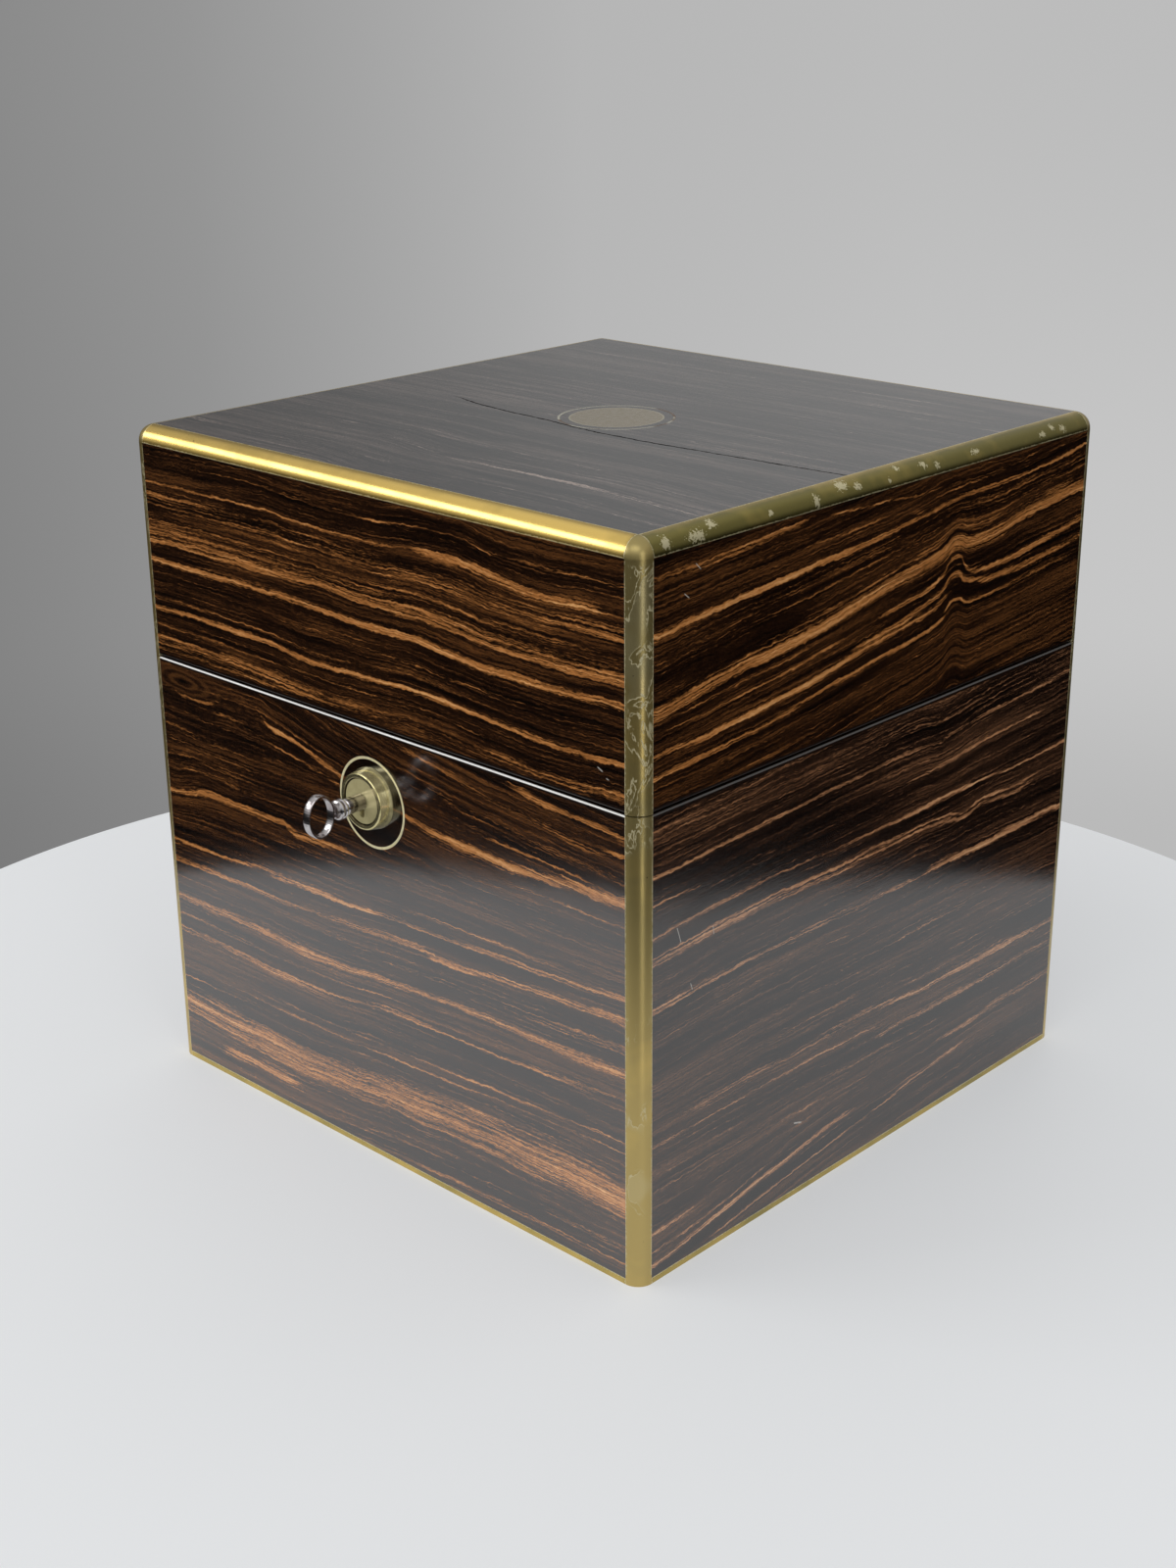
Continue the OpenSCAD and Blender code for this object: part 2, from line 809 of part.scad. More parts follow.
// Runs a shape from y0 to y1 on the key's axis
module on_key_axis(y0) {
  translate([0, y0, lock_z]) rotate([-90, 0, 0]) children();
}

top_screw_x = (top_plate_l + case_w) / 4;
mid_y = (case_y + case_back) / 2;

module lock_seat() {
  block([-case_w / 2 - let_in, case_y, case_z - let_in],
        [case_w / 2 + let_in, case_back + over, base_h]);
  block([-top_plate_l / 2 - let_in, case_y, base_h - top_plate_t],
        [top_plate_l / 2 + let_in, case_back + over, base_h + over]);
  on_key_axis(-half_d - over) cylinder(h = lock_cover + 2 * over, r = barrel_r + let_in);
  for (sx = [-1, 1]) translate([sx * top_screw_x, mid_y, base_h]) screw(running);
}

// An opening in a top plate for one link
module link_slot() {
  block([-link_t / 2 - 2 * slide_play, bolt_y - link_w / 2 - 2 * slide_play, case_top - over],
        [link_t / 2 + 2 * slide_play, bolt_y + link_w / 2 + 2 * slide_play, base_h + over]);
}

// The keyhole: a round opening with a slot below it
module keyhole(r, h) {
  cylinder(h = h, r = r);
  translate([-keyway_w / 2, 0, 0]) cube([keyway_w, keyway_r - keyway_w / 2, h]);
  translate([0, keyway_r - keyway_w / 2, 0]) cylinder(h = h, r = keyway_w / 2);
}

module lock_case() {
  color("darkgoldenrod") {
    difference() {
      union() {
        block([-case_w / 2, case_y, case_z], [case_w / 2, case_back, case_top]);
        block([-top_plate_l / 2, case_y, case_top], [top_plate_l / 2, case_back, base_h]);
      }
      block([-case_w / 2 + plate_t, case_y + plate_t, case_z + plate_t],
            [case_w / 2 - plate_t, case_back + over, case_top]);
      block([-case_w / 2 - over, case_back - cap_t, case_z - over],
            [case_w / 2 + over, case_back + over, case_top]);
      for (sx = [-1, 1]) translate([sx * link_x, 0, 0]) link_slot();
      on_key_axis(case_y - over) keyhole(tube_r + slide_play, plate_t + 2 * over);
      for (sx = [-1, 1]) translate([sx * top_screw_x, mid_y, base_h]) screw(running);
      for (sx = [-1, 1]) translate([sx * cap_screw_x, 0, cap_screw_z])
        translate([0, case_back - cap_t + over, 0]) rotate([90, 0, 0])
          cylinder(h = cap_screw_len, r = cap_screw_r + running);
    }
    for (sx = [-1, 1]) translate([sx * stump_x, case_y + plate_t / 2, stump_z])
      rotate([-90, 0, 0]) cylinder(h = case_back - cap_t - case_y - plate_t, r = stump_r);
    for (sx = [-1, 1]) difference() {
      translate([sx * cap_screw_x, case_y + plate_t / 2, cap_screw_z]) rotate([-90, 0, 0])
        cylinder(h = case_back - cap_t - case_y - plate_t / 2, r = cap_screw_r + 1.1);
      translate([sx * cap_screw_x, case_back - cap_t + over, cap_screw_z])
        rotate([90, 0, 0]) cylinder(h = cap_screw_len, r = cap_screw_r + running);
    }
  }
}

cap_screw_r = 0.9;
cap_screw_len = 4.5;
cap_screw_x = case_w / 2 - 5;
cap_screw_z = case_z + 5;

module lock_cap() {
  color("goldenrod") {
    difference() {
      block([-case_w / 2, case_back - cap_t, case_z], [case_w / 2, case_back, case_top]);
      for (sx = [-1, 1]) translate([sx * cap_screw_x, case_back + over, cap_screw_z])
        rotate([90, 0, 0]) cylinder(h = cap_t + 2 * over, r = cap_screw_r + running);
    }
    translate([0, case_back - cap_t / 2, lock_z]) rotate([90, 0, 0])
      cylinder(h = case_back - cap_t / 2 - case_y, r = drill_pin_r);
  }
}

module lock_screws() {
  color("goldenrod") {
    for (sx = [-1, 1]) translate([sx * top_screw_x, mid_y, base_h]) slotted_screw();
    for (sx = [-1, 1]) translate([sx * cap_screw_x, case_back, cap_screw_z])
      rotate([90, 0, 0]) cylinder(h = cap_screw_len + cap_t - over, r = cap_screw_r);
  }
}

// The barrel that stands out of the front, with a rounded lip
module lock_barrel() {
  bore = plug_r + slide_play / 2;
  length = case_y - barrel_front;
  color("darkgoldenrod") on_key_axis(barrel_front) rotate_extrude() polygon(concat(
    [[bore, length], [bore, thin_r]],
    arc(bore + thin_r, thin_r, thin_r, 180, 270, 3),
    arc(barrel_r - 2 * thin_r, 2 * thin_r, 2 * thin_r, 270, 360, 5),
    [[barrel_r + barrel_flare, barrel_out - thin_r], [barrel_r + barrel_flare, barrel_out],
     [barrel_r, barrel_out], [barrel_r, length]]));
}

// The plug that the key turns: a head in the barrel and a slit tail in the case
module lock_plug() {
  tail_end = case_back - cap_t - slide_play;
  color("goldenrod") difference() {
    union() {
      on_key_axis(plug_front) rotate_extrude() polygon([
        [0, 0], [plug_r - thin_r, 0], [plug_r, thin_r],
        [plug_r, case_y - plug_front - slide_play], [0, case_y - plug_front - slide_play]
      ]);
      on_key_axis(case_y - 2 * slide_play)
        cylinder(h = tail_end - case_y + 2 * slide_play, r = tube_r);
    }
    on_key_axis(plug_front - over) keyhole(shank_r + running, tail_end - plug_front + 2 * over);
  }
}

// The bolt: two tongues that enter the links, and a notch that the key's bit passes
module lock_bolt() {
  y0 = bolt_y - bolt_t / 2;
  y1 = bolt_y + bolt_t / 2;
  tongue_tip = -link_t / 2 - 0.5;
  gap_z = case_top - link_depth - 2 * slide_play;
  color("goldenrod") difference() {
    block([bolt_start - bolt_half, y0, bolt_foot], [bolt_start + bolt_half, y1, bolt_head]);
    for (sx = [-1, 1]) translate([sx * link_x, 0, 0]) difference() {
      block([tongue_tip - bolt_throw, y0 - over, gap_z],
            [link_t / 2 + 0.6, y1 + over, bolt_head + over]);
      block([tongue_tip - bolt_throw - over, y0 - 2 * over, tongue_z - tongue_h / 2],
            [tongue_tip, y1 + 2 * over, tongue_z + tongue_h / 2]);
    }
    for (sx = [-1, 1]) {
      for (x = [sx * stump_x - bolt_throw, sx * stump_x])
        translate([x, y0 - over, stump_z]) rotate([-90, 0, 0])
          cylinder(h = bolt_t + 2 * over, r = stump_r + slide_play);
      block([sx * stump_x - bolt_throw, y0 - over, stump_z - stump_r - slide_play],
            [sx * stump_x, y1 + over, stump_z + stump_r + slide_play]);
    }
    block([bolt_start - talon_w / 2, y0 - over, bolt_foot - over],
          [bolt_start + talon_w / 2, y1 + over, lock_z + bit_r + 2 * slide_play]);
  }
}

talon_w = 9.4;

// A bowed leaf spring under the bolt, held at the side of the case
module lock_spring() {
  span = case_w / 2 - plate_t - keyway_r - 3;
  r = 22;
  t = 0.6;
  top = bolt_foot - 0.2;
  color("silver") intersection() {
    translate([-case_w / 2 + plate_t, bolt_y + bolt_t / 2, top - r]) rotate([90, 0, 0])
      difference() {
        cylinder(h = bolt_t, r = r);
        translate([0, 0, -over]) cylinder(h = bolt_t + 2 * over, r = r - t);
      }
    block([-case_w / 2 + plate_t, bolt_y - bolt_t, top - r],
          [-case_w / 2 + plate_t + span, bolt_y + bolt_t, top + over]);
  }
}

// The bar of one link, down from the plate
module link_bar(fit, top) {
  block([-link_t / 2 - fit, bolt_y - link_w / 2 - fit, case_top - link_depth],
        [link_t / 2 + fit, bolt_y + link_w / 2 + fit, top]);
}

// The plate in the lid's rim, that the two links are riveted through
module link_plate() {
  color("darkgoldenrod") difference() {
    block([-top_plate_l / 2, case_y, lid_z], [top_plate_l / 2, case_back, lid_z + top_plate_t]);
    for (sx = [-1, 1]) translate([sx * link_x, 0, 0])
      link_bar(inlay_fit, lid_z + top_plate_t + over);
    for (sx = [-1, 1]) link_screw_place(sx) screw(running);
  }
}

// The two links, each with an eye that a tongue of the bolt enters
module lock_links() {
  color("goldenrod") for (sx = [-1, 1]) translate([sx * link_x, 0, 0]) difference() {
    link_bar(0, lid_z + top_plate_t);
    block([-link_t, bolt_y - bolt_t / 2 - slide_play, tongue_z - link_eye_h / 2],
          [link_t, bolt_y + bolt_t / 2 + slide_play, tongue_z + link_eye_h / 2]);
  }
}

module link_screw_place(sx) {
  translate([sx * top_screw_x, mid_y, lid_z]) mirror([0, 0, 1]) children();
}

module link_seat() {
  block([-top_plate_l / 2 - let_in, case_y - let_in, lid_z - over],
        [top_plate_l / 2 + let_in, case_back + over, lid_z + top_plate_t]);
  for (sx = [-1, 1]) link_screw_place(sx) screw(running);
}

module link_screws() {
  color("goldenrod") for (sx = [-1, 1]) link_screw_place(sx) slotted_screw();
}

// Key

bow_turns = 52;   // sections round the bow
band_sides = 14;  // sides of one section

// A point of the bow's oval band: a is the angle round the ring, t round the section
function bow_point(a, t) =
  let (y = (bow_l - band_t) / 2 * cos(a), z = (bow_w - band_t) / 2 * sin(a),
       ny = (bow_w - band_t) * cos(a), nz = (bow_l - band_t) * sin(a),
       flat = sign(cos(t)) * pow(abs(cos(t)), 0.55),
       out = band_t / 2 * flat / norm([ny, nz]))
    [band_w / 2 * sin(t), y + ny * out, z + nz * out];

// The oval ring that the fingers hold
module bow() {
  polyhedron(
    points = [for (i = [0 : bow_turns - 1], j = [0 : band_sides - 1])
                bow_point(360 * i / bow_turns, 360 * j / band_sides)],
    faces = [for (i = [0 : bow_turns - 1], j = [0 : band_sides - 1], k = [0, 1])
               let (i1 = (i + 1) % bow_turns, j1 = (j + 1) % band_sides,
                    a = i * band_sides + j, b = i1 * band_sides + j,
                    c = i1 * band_sides + j1, d = i * band_sides + j1)
                 k == 0 ? [a, c, b] : [a, d, c]]
  );
}

collar_r = 3.5;  // radius of the rings between bow and shank
collar_l = 5.4;  // length of the turned stretch
stem_gap = 0.3;  // gap between the shank's thick stretch and the plug

// Outline of that stretch: shares of its radius, and of its length from the bow
collar = [[0.34, -0.11], [0.41, 0.02], [0.72, 0.09], [0.78, 0.24], [0.94, 0.31], [1, 0.41],
          [0.94, 0.5], [0.78, 0.54], [0.78, 0.57], [0.94, 0.61], [1, 0.7], [0.94, 0.8],
          [0.7, 0.85], [0.7, 0.93], [0.8, 1]];

module key() {
  bow_end = bow_y + bow_l / 2;
  color("lightgray") {
    translate([0, bow_y, lock_z]) bow();
    difference() {
      union() {
        on_key_axis(bow_end) rotate_extrude() polygon(concat(
          [[0, collar[0][1] * collar_l]], [for (c = collar) [c[0] * collar_r, c[1] * collar_l]],
          [[stem_r, plug_front - stem_gap - bow_end], [shank_r, plug_front - stem_gap - bow_end],
           [shank_r, shank_end - bow_end], [0, shank_end - bow_end]]));
        difference() {
          block([-bit_t / 2, bit_front, lock_z - bit_r], [bit_t / 2, shank_end, lock_z]);
          for (i = [1 : 2])
            block([-bit_t, bit_front + i * (shank_end - bit_front) / 3 - 0.35,
                   lock_z - bit_r - over],
                  [bit_t, bit_front + i * (shank_end - bit_front) / 3 + 0.35,
                   lock_z - bit_r + 1.2 * i]);
        }
      }
      on_key_axis(case_y - 1) cylinder(h = shank_end - case_y + 2, r = drill_pin_r + 0.2);
    }
  }
}

base_front_wall();
base_back_wall();
base_left_wall();
base_right_wall();
base_bottom_board();
base_front_veneer();
base_back_veneer();
base_left_veneer();
base_right_veneer();
base_corner_brass();
base_foot_brass();
base_rim_facing();
underside_baize();
floor_pad();
base_lining();
divider_long();
divider_cross();
decanter_at(-1, -1);  // decanter_front_left
decanter_at(1, -1);  // decanter_front_right
decanter_at(-1, 1);  // decanter_back_left
decanter_at(1, 1);  // decanter_back_right
stopper_at(-1, -1);  // stopper_front_left
stopper_at(1, -1);  // stopper_front_right
stopper_at(-1, 1);  // stopper_back_left
stopper_at(1, 1);  // stopper_back_right
hinge_base_leaf(-1);  // hinge_base_leaf_left
hinge_base_leaf(1);  // hinge_base_leaf_right
hinge_lid_leaf(-1);  // hinge_lid_leaf_left
hinge_lid_leaf(1);  // hinge_lid_leaf_right
hinge_pins();
hinge_base_screws();
hinge_lid_screws();
lock_case();
lock_cap();
lock_barrel();
lock_plug();
lock_bolt();
lock_spring();
lock_screws();
lock_ring_inlay();
key();
link_plate();
lock_links();
link_screws();
lid_front_wall();
lid_back_wall();
lid_left_wall();
lid_right_wall();
lid_top_board();
lid_front_veneer();
lid_back_veneer();
lid_left_veneer();
lid_right_veneer();
lid_top_veneer();
lid_corner_brass();
lid_edge_brass();
lid_rim_facing();
lid_disc_inlay();
lid_ring_inlay();
lid_lining();
lid_pad();
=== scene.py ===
"""A square antique decanter box in dark striped veneer, with brass edges, a hinged lid and a
key in its lock. The sections follow the box as it is put together."""
import math

import bmesh
import bpy
from mathutils import Matrix, Vector


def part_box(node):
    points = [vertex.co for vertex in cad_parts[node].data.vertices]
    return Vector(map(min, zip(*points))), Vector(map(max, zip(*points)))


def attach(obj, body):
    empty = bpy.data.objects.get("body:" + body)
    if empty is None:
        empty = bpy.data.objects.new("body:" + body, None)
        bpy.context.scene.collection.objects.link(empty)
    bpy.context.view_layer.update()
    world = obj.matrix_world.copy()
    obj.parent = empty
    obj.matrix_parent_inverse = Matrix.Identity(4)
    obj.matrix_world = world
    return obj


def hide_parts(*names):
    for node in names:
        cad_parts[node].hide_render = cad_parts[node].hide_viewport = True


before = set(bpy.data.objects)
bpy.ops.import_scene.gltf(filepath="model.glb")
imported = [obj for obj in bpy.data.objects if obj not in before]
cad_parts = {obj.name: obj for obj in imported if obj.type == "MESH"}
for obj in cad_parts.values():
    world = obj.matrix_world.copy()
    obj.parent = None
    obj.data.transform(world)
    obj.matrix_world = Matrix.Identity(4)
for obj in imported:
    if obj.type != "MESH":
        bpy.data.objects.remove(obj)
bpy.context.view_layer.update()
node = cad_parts
MM = 0.001

# View.
# The camera stands to the right of the box and above it, as the box's edges and corners
# in the photograph give it. Places are millimetres from the middle of the underside.
CAMERA_PLACE = (520.9, -561.4, 404.3)
CAMERA_TURN = 43.687
CAMERA_DIP = 21.141
CAMERA_ROLL = -0.487
CAMERA_LENS = 50.49

camera = bpy.data.objects.new("view_camera", bpy.data.cameras.new("view_camera"))
bpy.context.scene.collection.objects.link(camera)
camera.data.lens = CAMERA_LENS
camera.data.sensor_width = 36
camera.data.clip_start = 0.01
camera.location = Vector(CAMERA_PLACE) * MM
camera.matrix_world = (
    Matrix.Translation(camera.location)
    @ Matrix.Rotation(math.radians(CAMERA_TURN), 4, "Z")
    @ Matrix.Rotation(math.radians(90 - CAMERA_DIP), 4, "X")
    @ Matrix.Rotation(math.radians(CAMERA_ROLL), 4, "Z")
)
bpy.context.scene.camera = camera
bpy.context.scene.view_settings.view_transform = "Standard"

# Floor and light.
# A plain pale round floor and the grey wall of the studio behind it. One soft lamp stands on
# the left like a window, one high in front and a tall one on the right.


class Finish:
    """One material. Each call adds a shader node and gives back what comes out of it."""

    def __init__(self, name, material=None):
        self.material = material or bpy.data.materials.new(name)
        self.material.use_nodes = True
        self.tree = self.material.node_tree
        self.tree.nodes.clear()

    def add(self, kind, *values, out=0, named=None, **settings):
        made = self.tree.nodes.new("ShaderNode" + kind)
        for key, value in settings.items():
            setattr(made, key, value)
        for key, value in [*enumerate(values), *(named or {}).items()]:
            socket = made.inputs[key]
            if isinstance(value, bpy.types.NodeSocket):
                self.tree.links.new(value, socket)
            elif value is not None:
                socket.default_value = (*value, 1) if socket.type == "RGBA" else value
        return made.outputs[out]

    def calc(self, operation, a, b=None, c=None):
        return self.add("Math", a, b, c, operation=operation)

    def times(self, a, b, plus=None):
        return self.calc("MULTIPLY" if plus is None else "MULTIPLY_ADD", a, b, plus)

    def plus(self, a, b):
        return self.calc("ADD", a, b)

    def minus(self, a, b):
        return self.calc("SUBTRACT", a, b)

    def apart(self, a, b):
        """How far one value is from another."""
        return self.calc("ABSOLUTE", self.minus(a, b))

    def reach(self, a, b):
        """The length of a step that goes a one way and b square to it."""
        return self.calc("SQRT", self.times(a, a, self.times(b, b)))

    def place(self):
        """The point's own place in millimetres, as x, y and z."""
        point = self.add("TexCoord", out="Object")
        split = self.tree.nodes.new("ShaderNodeSeparateXYZ")
        self.tree.links.new(point, split.inputs[0])
        return [self.times(split.outputs[i], 1 / MM) for i in range(3)]

    def joined(self, x, y, z=0.0):
        return self.add("CombineXYZ", x, y, z)

    def stretched(self, x, y, z, sx, sy, sz=0.0):
        """A point whose three parts are scaled each by its own amount."""
        z = z if sz == 0 else self.times(z, sz)
        return self.joined(self.times(x, sx), self.times(y, sy), z)

    def noise(self, point, scale=1.0, detail=3.0, rough=0.5, bend=0.0):
        return self.add("TexNoise", point, named={
            "Scale": scale, "Detail": detail, "Roughness": rough, "Distortion": bend})

    def fade(self, value, low, high, to_low=0.0, to_high=1.0, smooth=True):
        return self.add("MapRange", value, low, high, to_low, to_high,
                        interpolation_type="SMOOTHSTEP" if smooth else "LINEAR")

    def ramp(self, value, stops):
        made = self.tree.nodes.new("ShaderNodeValToRGB")
        self.tree.links.new(value, made.inputs[0])
        band = made.color_ramp
        while len(band.elements) < len(stops):
            band.elements.new(0.5)
        for element, (where, colour) in zip(band.elements, stops):
            element.position = where
            element.color = (*colour, 1)
        return made.outputs[0]

    def mix(self, share, a, b, blend="MIX"):
        return self.add("Mix", named={0: share, 6: a, 7: b}, out=2, data_type="RGBA",
                        blend_type=blend)

    def bump(self, height, strength, depth):
        return self.add("Bump", named={"Strength": strength, "Distance": depth,
                                       "Height": height})

    def shade(self, **sockets):
        """Ends the material with these sockets of its shader."""
        made = self.add("BsdfPrincipled", named={
            key.replace("_", " "): value for key, value in sockets.items()})
        end = self.tree.nodes.new("ShaderNodeOutputMaterial")
        self.tree.links.new(made, end.inputs[0])
        return self.material


def srgb(r, g, b):
    """A colour as it shows on a screen, from 0 to 255, as the linear one the shaders take."""
    return tuple(
        c / 12.92 if c <= 0.04045 else ((c + 0.055) / 1.055) ** 2.4
        for c in (r / 255, g / 255, b / 255)
    )


BOX_MIDDLE = (0, 0, 120)
FLOOR_RADIUS = 337.5
FLOOR_MIDDLE = (4, -22)
FLOOR_THICK = 22
FLOOR_COLOUR = srgb(232, 234, 236)
FLOOR_SEEN = srgb(230, 232, 234)
FLOOR_GLOW = 0.4  # how much of what is seen of it, also in the polish, has no shade on it
# Each lamp: its name, the way to it, how far it is, its size in metres, and its watts.
LAMPS = [
    ("window_lamp", (-0.63, -0.62, 0.44), 2.2, (1.4, 0.65), 10.0),
    ("front_lamp", (0.30, -0.80, 0.90), 2.0, (1.6, 0.9), 6.5),
    ("side_lamp", (0.80, -0.36, 0.02), 2.0, (0.34, 2.3), 6.0),
]
SKY_RIGHT = Vector((0.723, 0.691, 0.0))
SKY_BACK = Vector((-0.691, 0.723, 0.0))
# The wall that shows behind the box, from its left to its right, this far each way.
WALL_REACH = 0.3
WALL = [(0.0, 0.225), (0.22, 0.30), (0.5, 0.465), (0.75, 0.50), (1.0, 0.51)]
# How bright that wall is in what the polish reflects, at its left and its right.
WALL_BACK = (0.66, 0.98)
# The studio's light by height, from straight down to straight up.
ALL_ROUND = [(0.0, 0.008), (0.46, 0.008), (0.52, 0.3), (0.62, 0.66), (0.8, 0.74), (1.0, 0.78)]


def round_floor():
    mesh = bmesh.new()
    bmesh.ops.create_cone(mesh, cap_ends=True, segments=256, radius1=FLOOR_RADIUS * MM,
                          radius2=FLOOR_RADIUS * MM, depth=FLOOR_THICK * MM)
    rims = [e for e in mesh.edges if len(e.link_faces) == 2 and e.calc_face_angle() > 1]
    bmesh.ops.bevel(mesh, geom=rims, offset=2 * MM, segments=4, affect="EDGES")
    data = bpy.data.meshes.new("floor")
    mesh.to_mesh(data)
    mesh.free()
    floor = bpy.data.objects.new("floor", data)
    floor.location = (FLOOR_MIDDLE[0] * MM, FLOOR_MIDDLE[1] * MM, -FLOOR_THICK / 2 * MM)
    bpy.context.scene.collection.objects.link(floor)
    for face in data.polygons:
        face.use_smooth = len(face.vertices) < 10
    pale = Finish("pale_floor")
    rays = [pale.add("LightPath", out=way) for way in
            ("Is Camera Ray", "Is Glossy Ray", "Is Transmission Ray")]
    seen = pale.calc("MAXIMUM", pale.calc("MAXIMUM", rays[0], rays[1]), rays[2])
    dimmer = tuple(c * (1 - FLOOR_GLOW) for c in FLOOR_COLOUR)
    floor.data.materials.append(pale.shade(
        Base_Color=pale.mix(seen, FLOOR_COLOUR, dimmer), Roughness=0.55,
        Emission_Color=FLOOR_SEEN, Emission_Strength=pale.times(seen, FLOOR_GLOW)))


def studio_grey():
    world = bpy.data.worlds.new("studio")
    bpy.context.scene.world = world
    world.use_nodes = True
    sky = Finish("studio", world)
    way = sky.add("TexCoord", out="Generated")
    side = sky.add("VectorMath", way, tuple(SKY_RIGHT), operation="DOT_PRODUCT", out="Value")
    back = sky.add("VectorMath", way, tuple(SKY_BACK), operation="DOT_PRODUCT", out="Value")
    split = sky.tree.nodes.new("ShaderNodeSeparateXYZ")
    sky.tree.links.new(way, split.inputs[0])
    rise = split.outputs[2]
    # The wall as the camera sees it, darker towards its foot.
    across = sky.fade(side, -WALL_REACH, WALL_REACH, smooth=False)
    wall = sky.ramp(across, [(x, (g, g, g)) for x, g in WALL])
    foot = sky.fade(rise, -0.28, -0.03, sky.fade(side, -WALL_REACH, WALL_REACH, 0.93, 1.13), 1.0)
    foot = sky.times(foot, sky.fade(rise, -0.38, -0.28, 0.86, 1.0))
    wall = sky.mix(1.0, wall, sky.joined(foot, foot, foot), blend="MULTIPLY")
    # The light that falls on the box, weaker from its far right.
    lit = sky.ramp(sky.fade(rise, -1, 1, smooth=False), [(x, (g, g, g)) for x, g in ALL_ROUND])
    dim = sky.fade(sky.times(side, sky.fade(rise, 0.95, 0.5)), 0.3, 0.95, 1.0, 0.55)
    lit = sky.mix(1.0, lit, sky.joined(dim, dim, dim), blend="MULTIPLY")
    # Behind the box the polish reflects the wall.
    behind = sky.times(sky.fade(back, 0.1, 0.6), sky.fade(rise, 0.45, 0.75, 1.0, 0.0))
    behind = sky.times(behind, sky.fade(rise, -0.05, 0.05))
    share = sky.fade(side, -WALL_REACH, WALL_REACH, *WALL_BACK)
    grey = sky.mix(1.0, wall, sky.joined(share, share, share), blend="MULTIPLY")
    lit = sky.mix(behind, lit, grey)
    seen = sky.add("LightPath", out="Is Camera Ray")
    end = sky.tree.nodes.new("ShaderNodeOutputWorld")
    glow = sky.add("Background", sky.mix(seen, lit, wall), 1.0)
    sky.tree.links.new(glow, end.inputs[0])


def soft_lamp(name, way, far, size, watts):
    """A lamp that stands off the middle of the box, far along a way, and faces it."""
    way = Vector(way)
    lamp = bpy.data.objects.new(name, bpy.data.lights.new(name, "AREA"))
    lamp.data.shape = "RECTANGLE"
    lamp.data.size, lamp.data.size_y = size
    lamp.data.energy = watts
    lamp.location = Vector(BOX_MIDDLE) * MM + way.normalized() * far
    lamp.rotation_euler = way.to_track_quat("Z", "Y").to_euler()
    bpy.context.scene.collection.objects.link(lamp)


round_floor()
studio_grey()
for lamp in LAMPS:
    soft_lamp(*lamp)

# Carcass.
# Plain mahogany boards: four walls dovetailed at the corners and a bottom for the base,
# four walls and a top for the lid. Veneer and linings hide nearly all of it.
CARCASS_NODES = [
    "base_front_wall", "base_back_wall", "base_left_wall", "base_right_wall",
    "base_bottom_board", "lid_front_wall", "lid_back_wall", "lid_left_wall",
    "lid_right_wall", "lid_top_board",
]
MAHOGANY_DARK = srgb(74, 38, 22)
MAHOGANY_LIGHT = srgb(128, 72, 42)


def dress(names, material):
    """Gives CAD nodes one material."""
    for name in names:
        slots = node[name].data.materials
        if not slots:
            slots.append(material)
        for i in range(len(slots)):
            slots[i] = material


def bare_mahogany():
    wood = Finish("bare_mahogany")
    x, y, z = wood.place()
    grain = wood.noise(wood.stretched(x, z, y, 0.02, 0.9, 0.9), 1, 5, 0.6)
    pores = wood.noise(wood.stretched(x, z, y, 0.12, 4, 4), 1, 2)
    colour = wood.ramp(grain, [(0.3, MAHOGANY_DARK), (0.7, MAHOGANY_LIGHT)])
    colour = wood.mix(wood.fade(pores, 0.58, 0.7, 0, 0.6), colour, MAHOGANY_DARK)
    return wood.shade(Base_Color=colour, Roughness=0.55,
                      Normal=wood.bump(pores, 0.3, 0.0002))


dress(CARCASS_NODES, bare_mahogany())

# Veneer.
# One sheet of dark striped wood for each face, cut 1 mm thick and French polished. Its
# fibres run level in long waves, and each pale stripe is a bundle of them.
INK = srgb(9, 4, 2)
DARK_BROWN = srgb(36, 19, 9)
BROWN = srgb(94, 58, 29)
STRIPE_DEEP = srgb(124, 79, 40)
STRIPE = srgb(198, 130, 70)
STRIPE_PALE = srgb(246, 190, 126)
SCRATCH = srgb(200, 196, 188)
EDGE = 115.0  # how far the figure reaches to each side of the middle
POLISH_ROUGH = 0.13
FIBRE_RANGE = 60.0  # the most that a fibre's height may change over the sheet
STRIPE_RANGE = 40.0  # and a stripe's
TAPER = 12  # the end of a stripe thins out over this

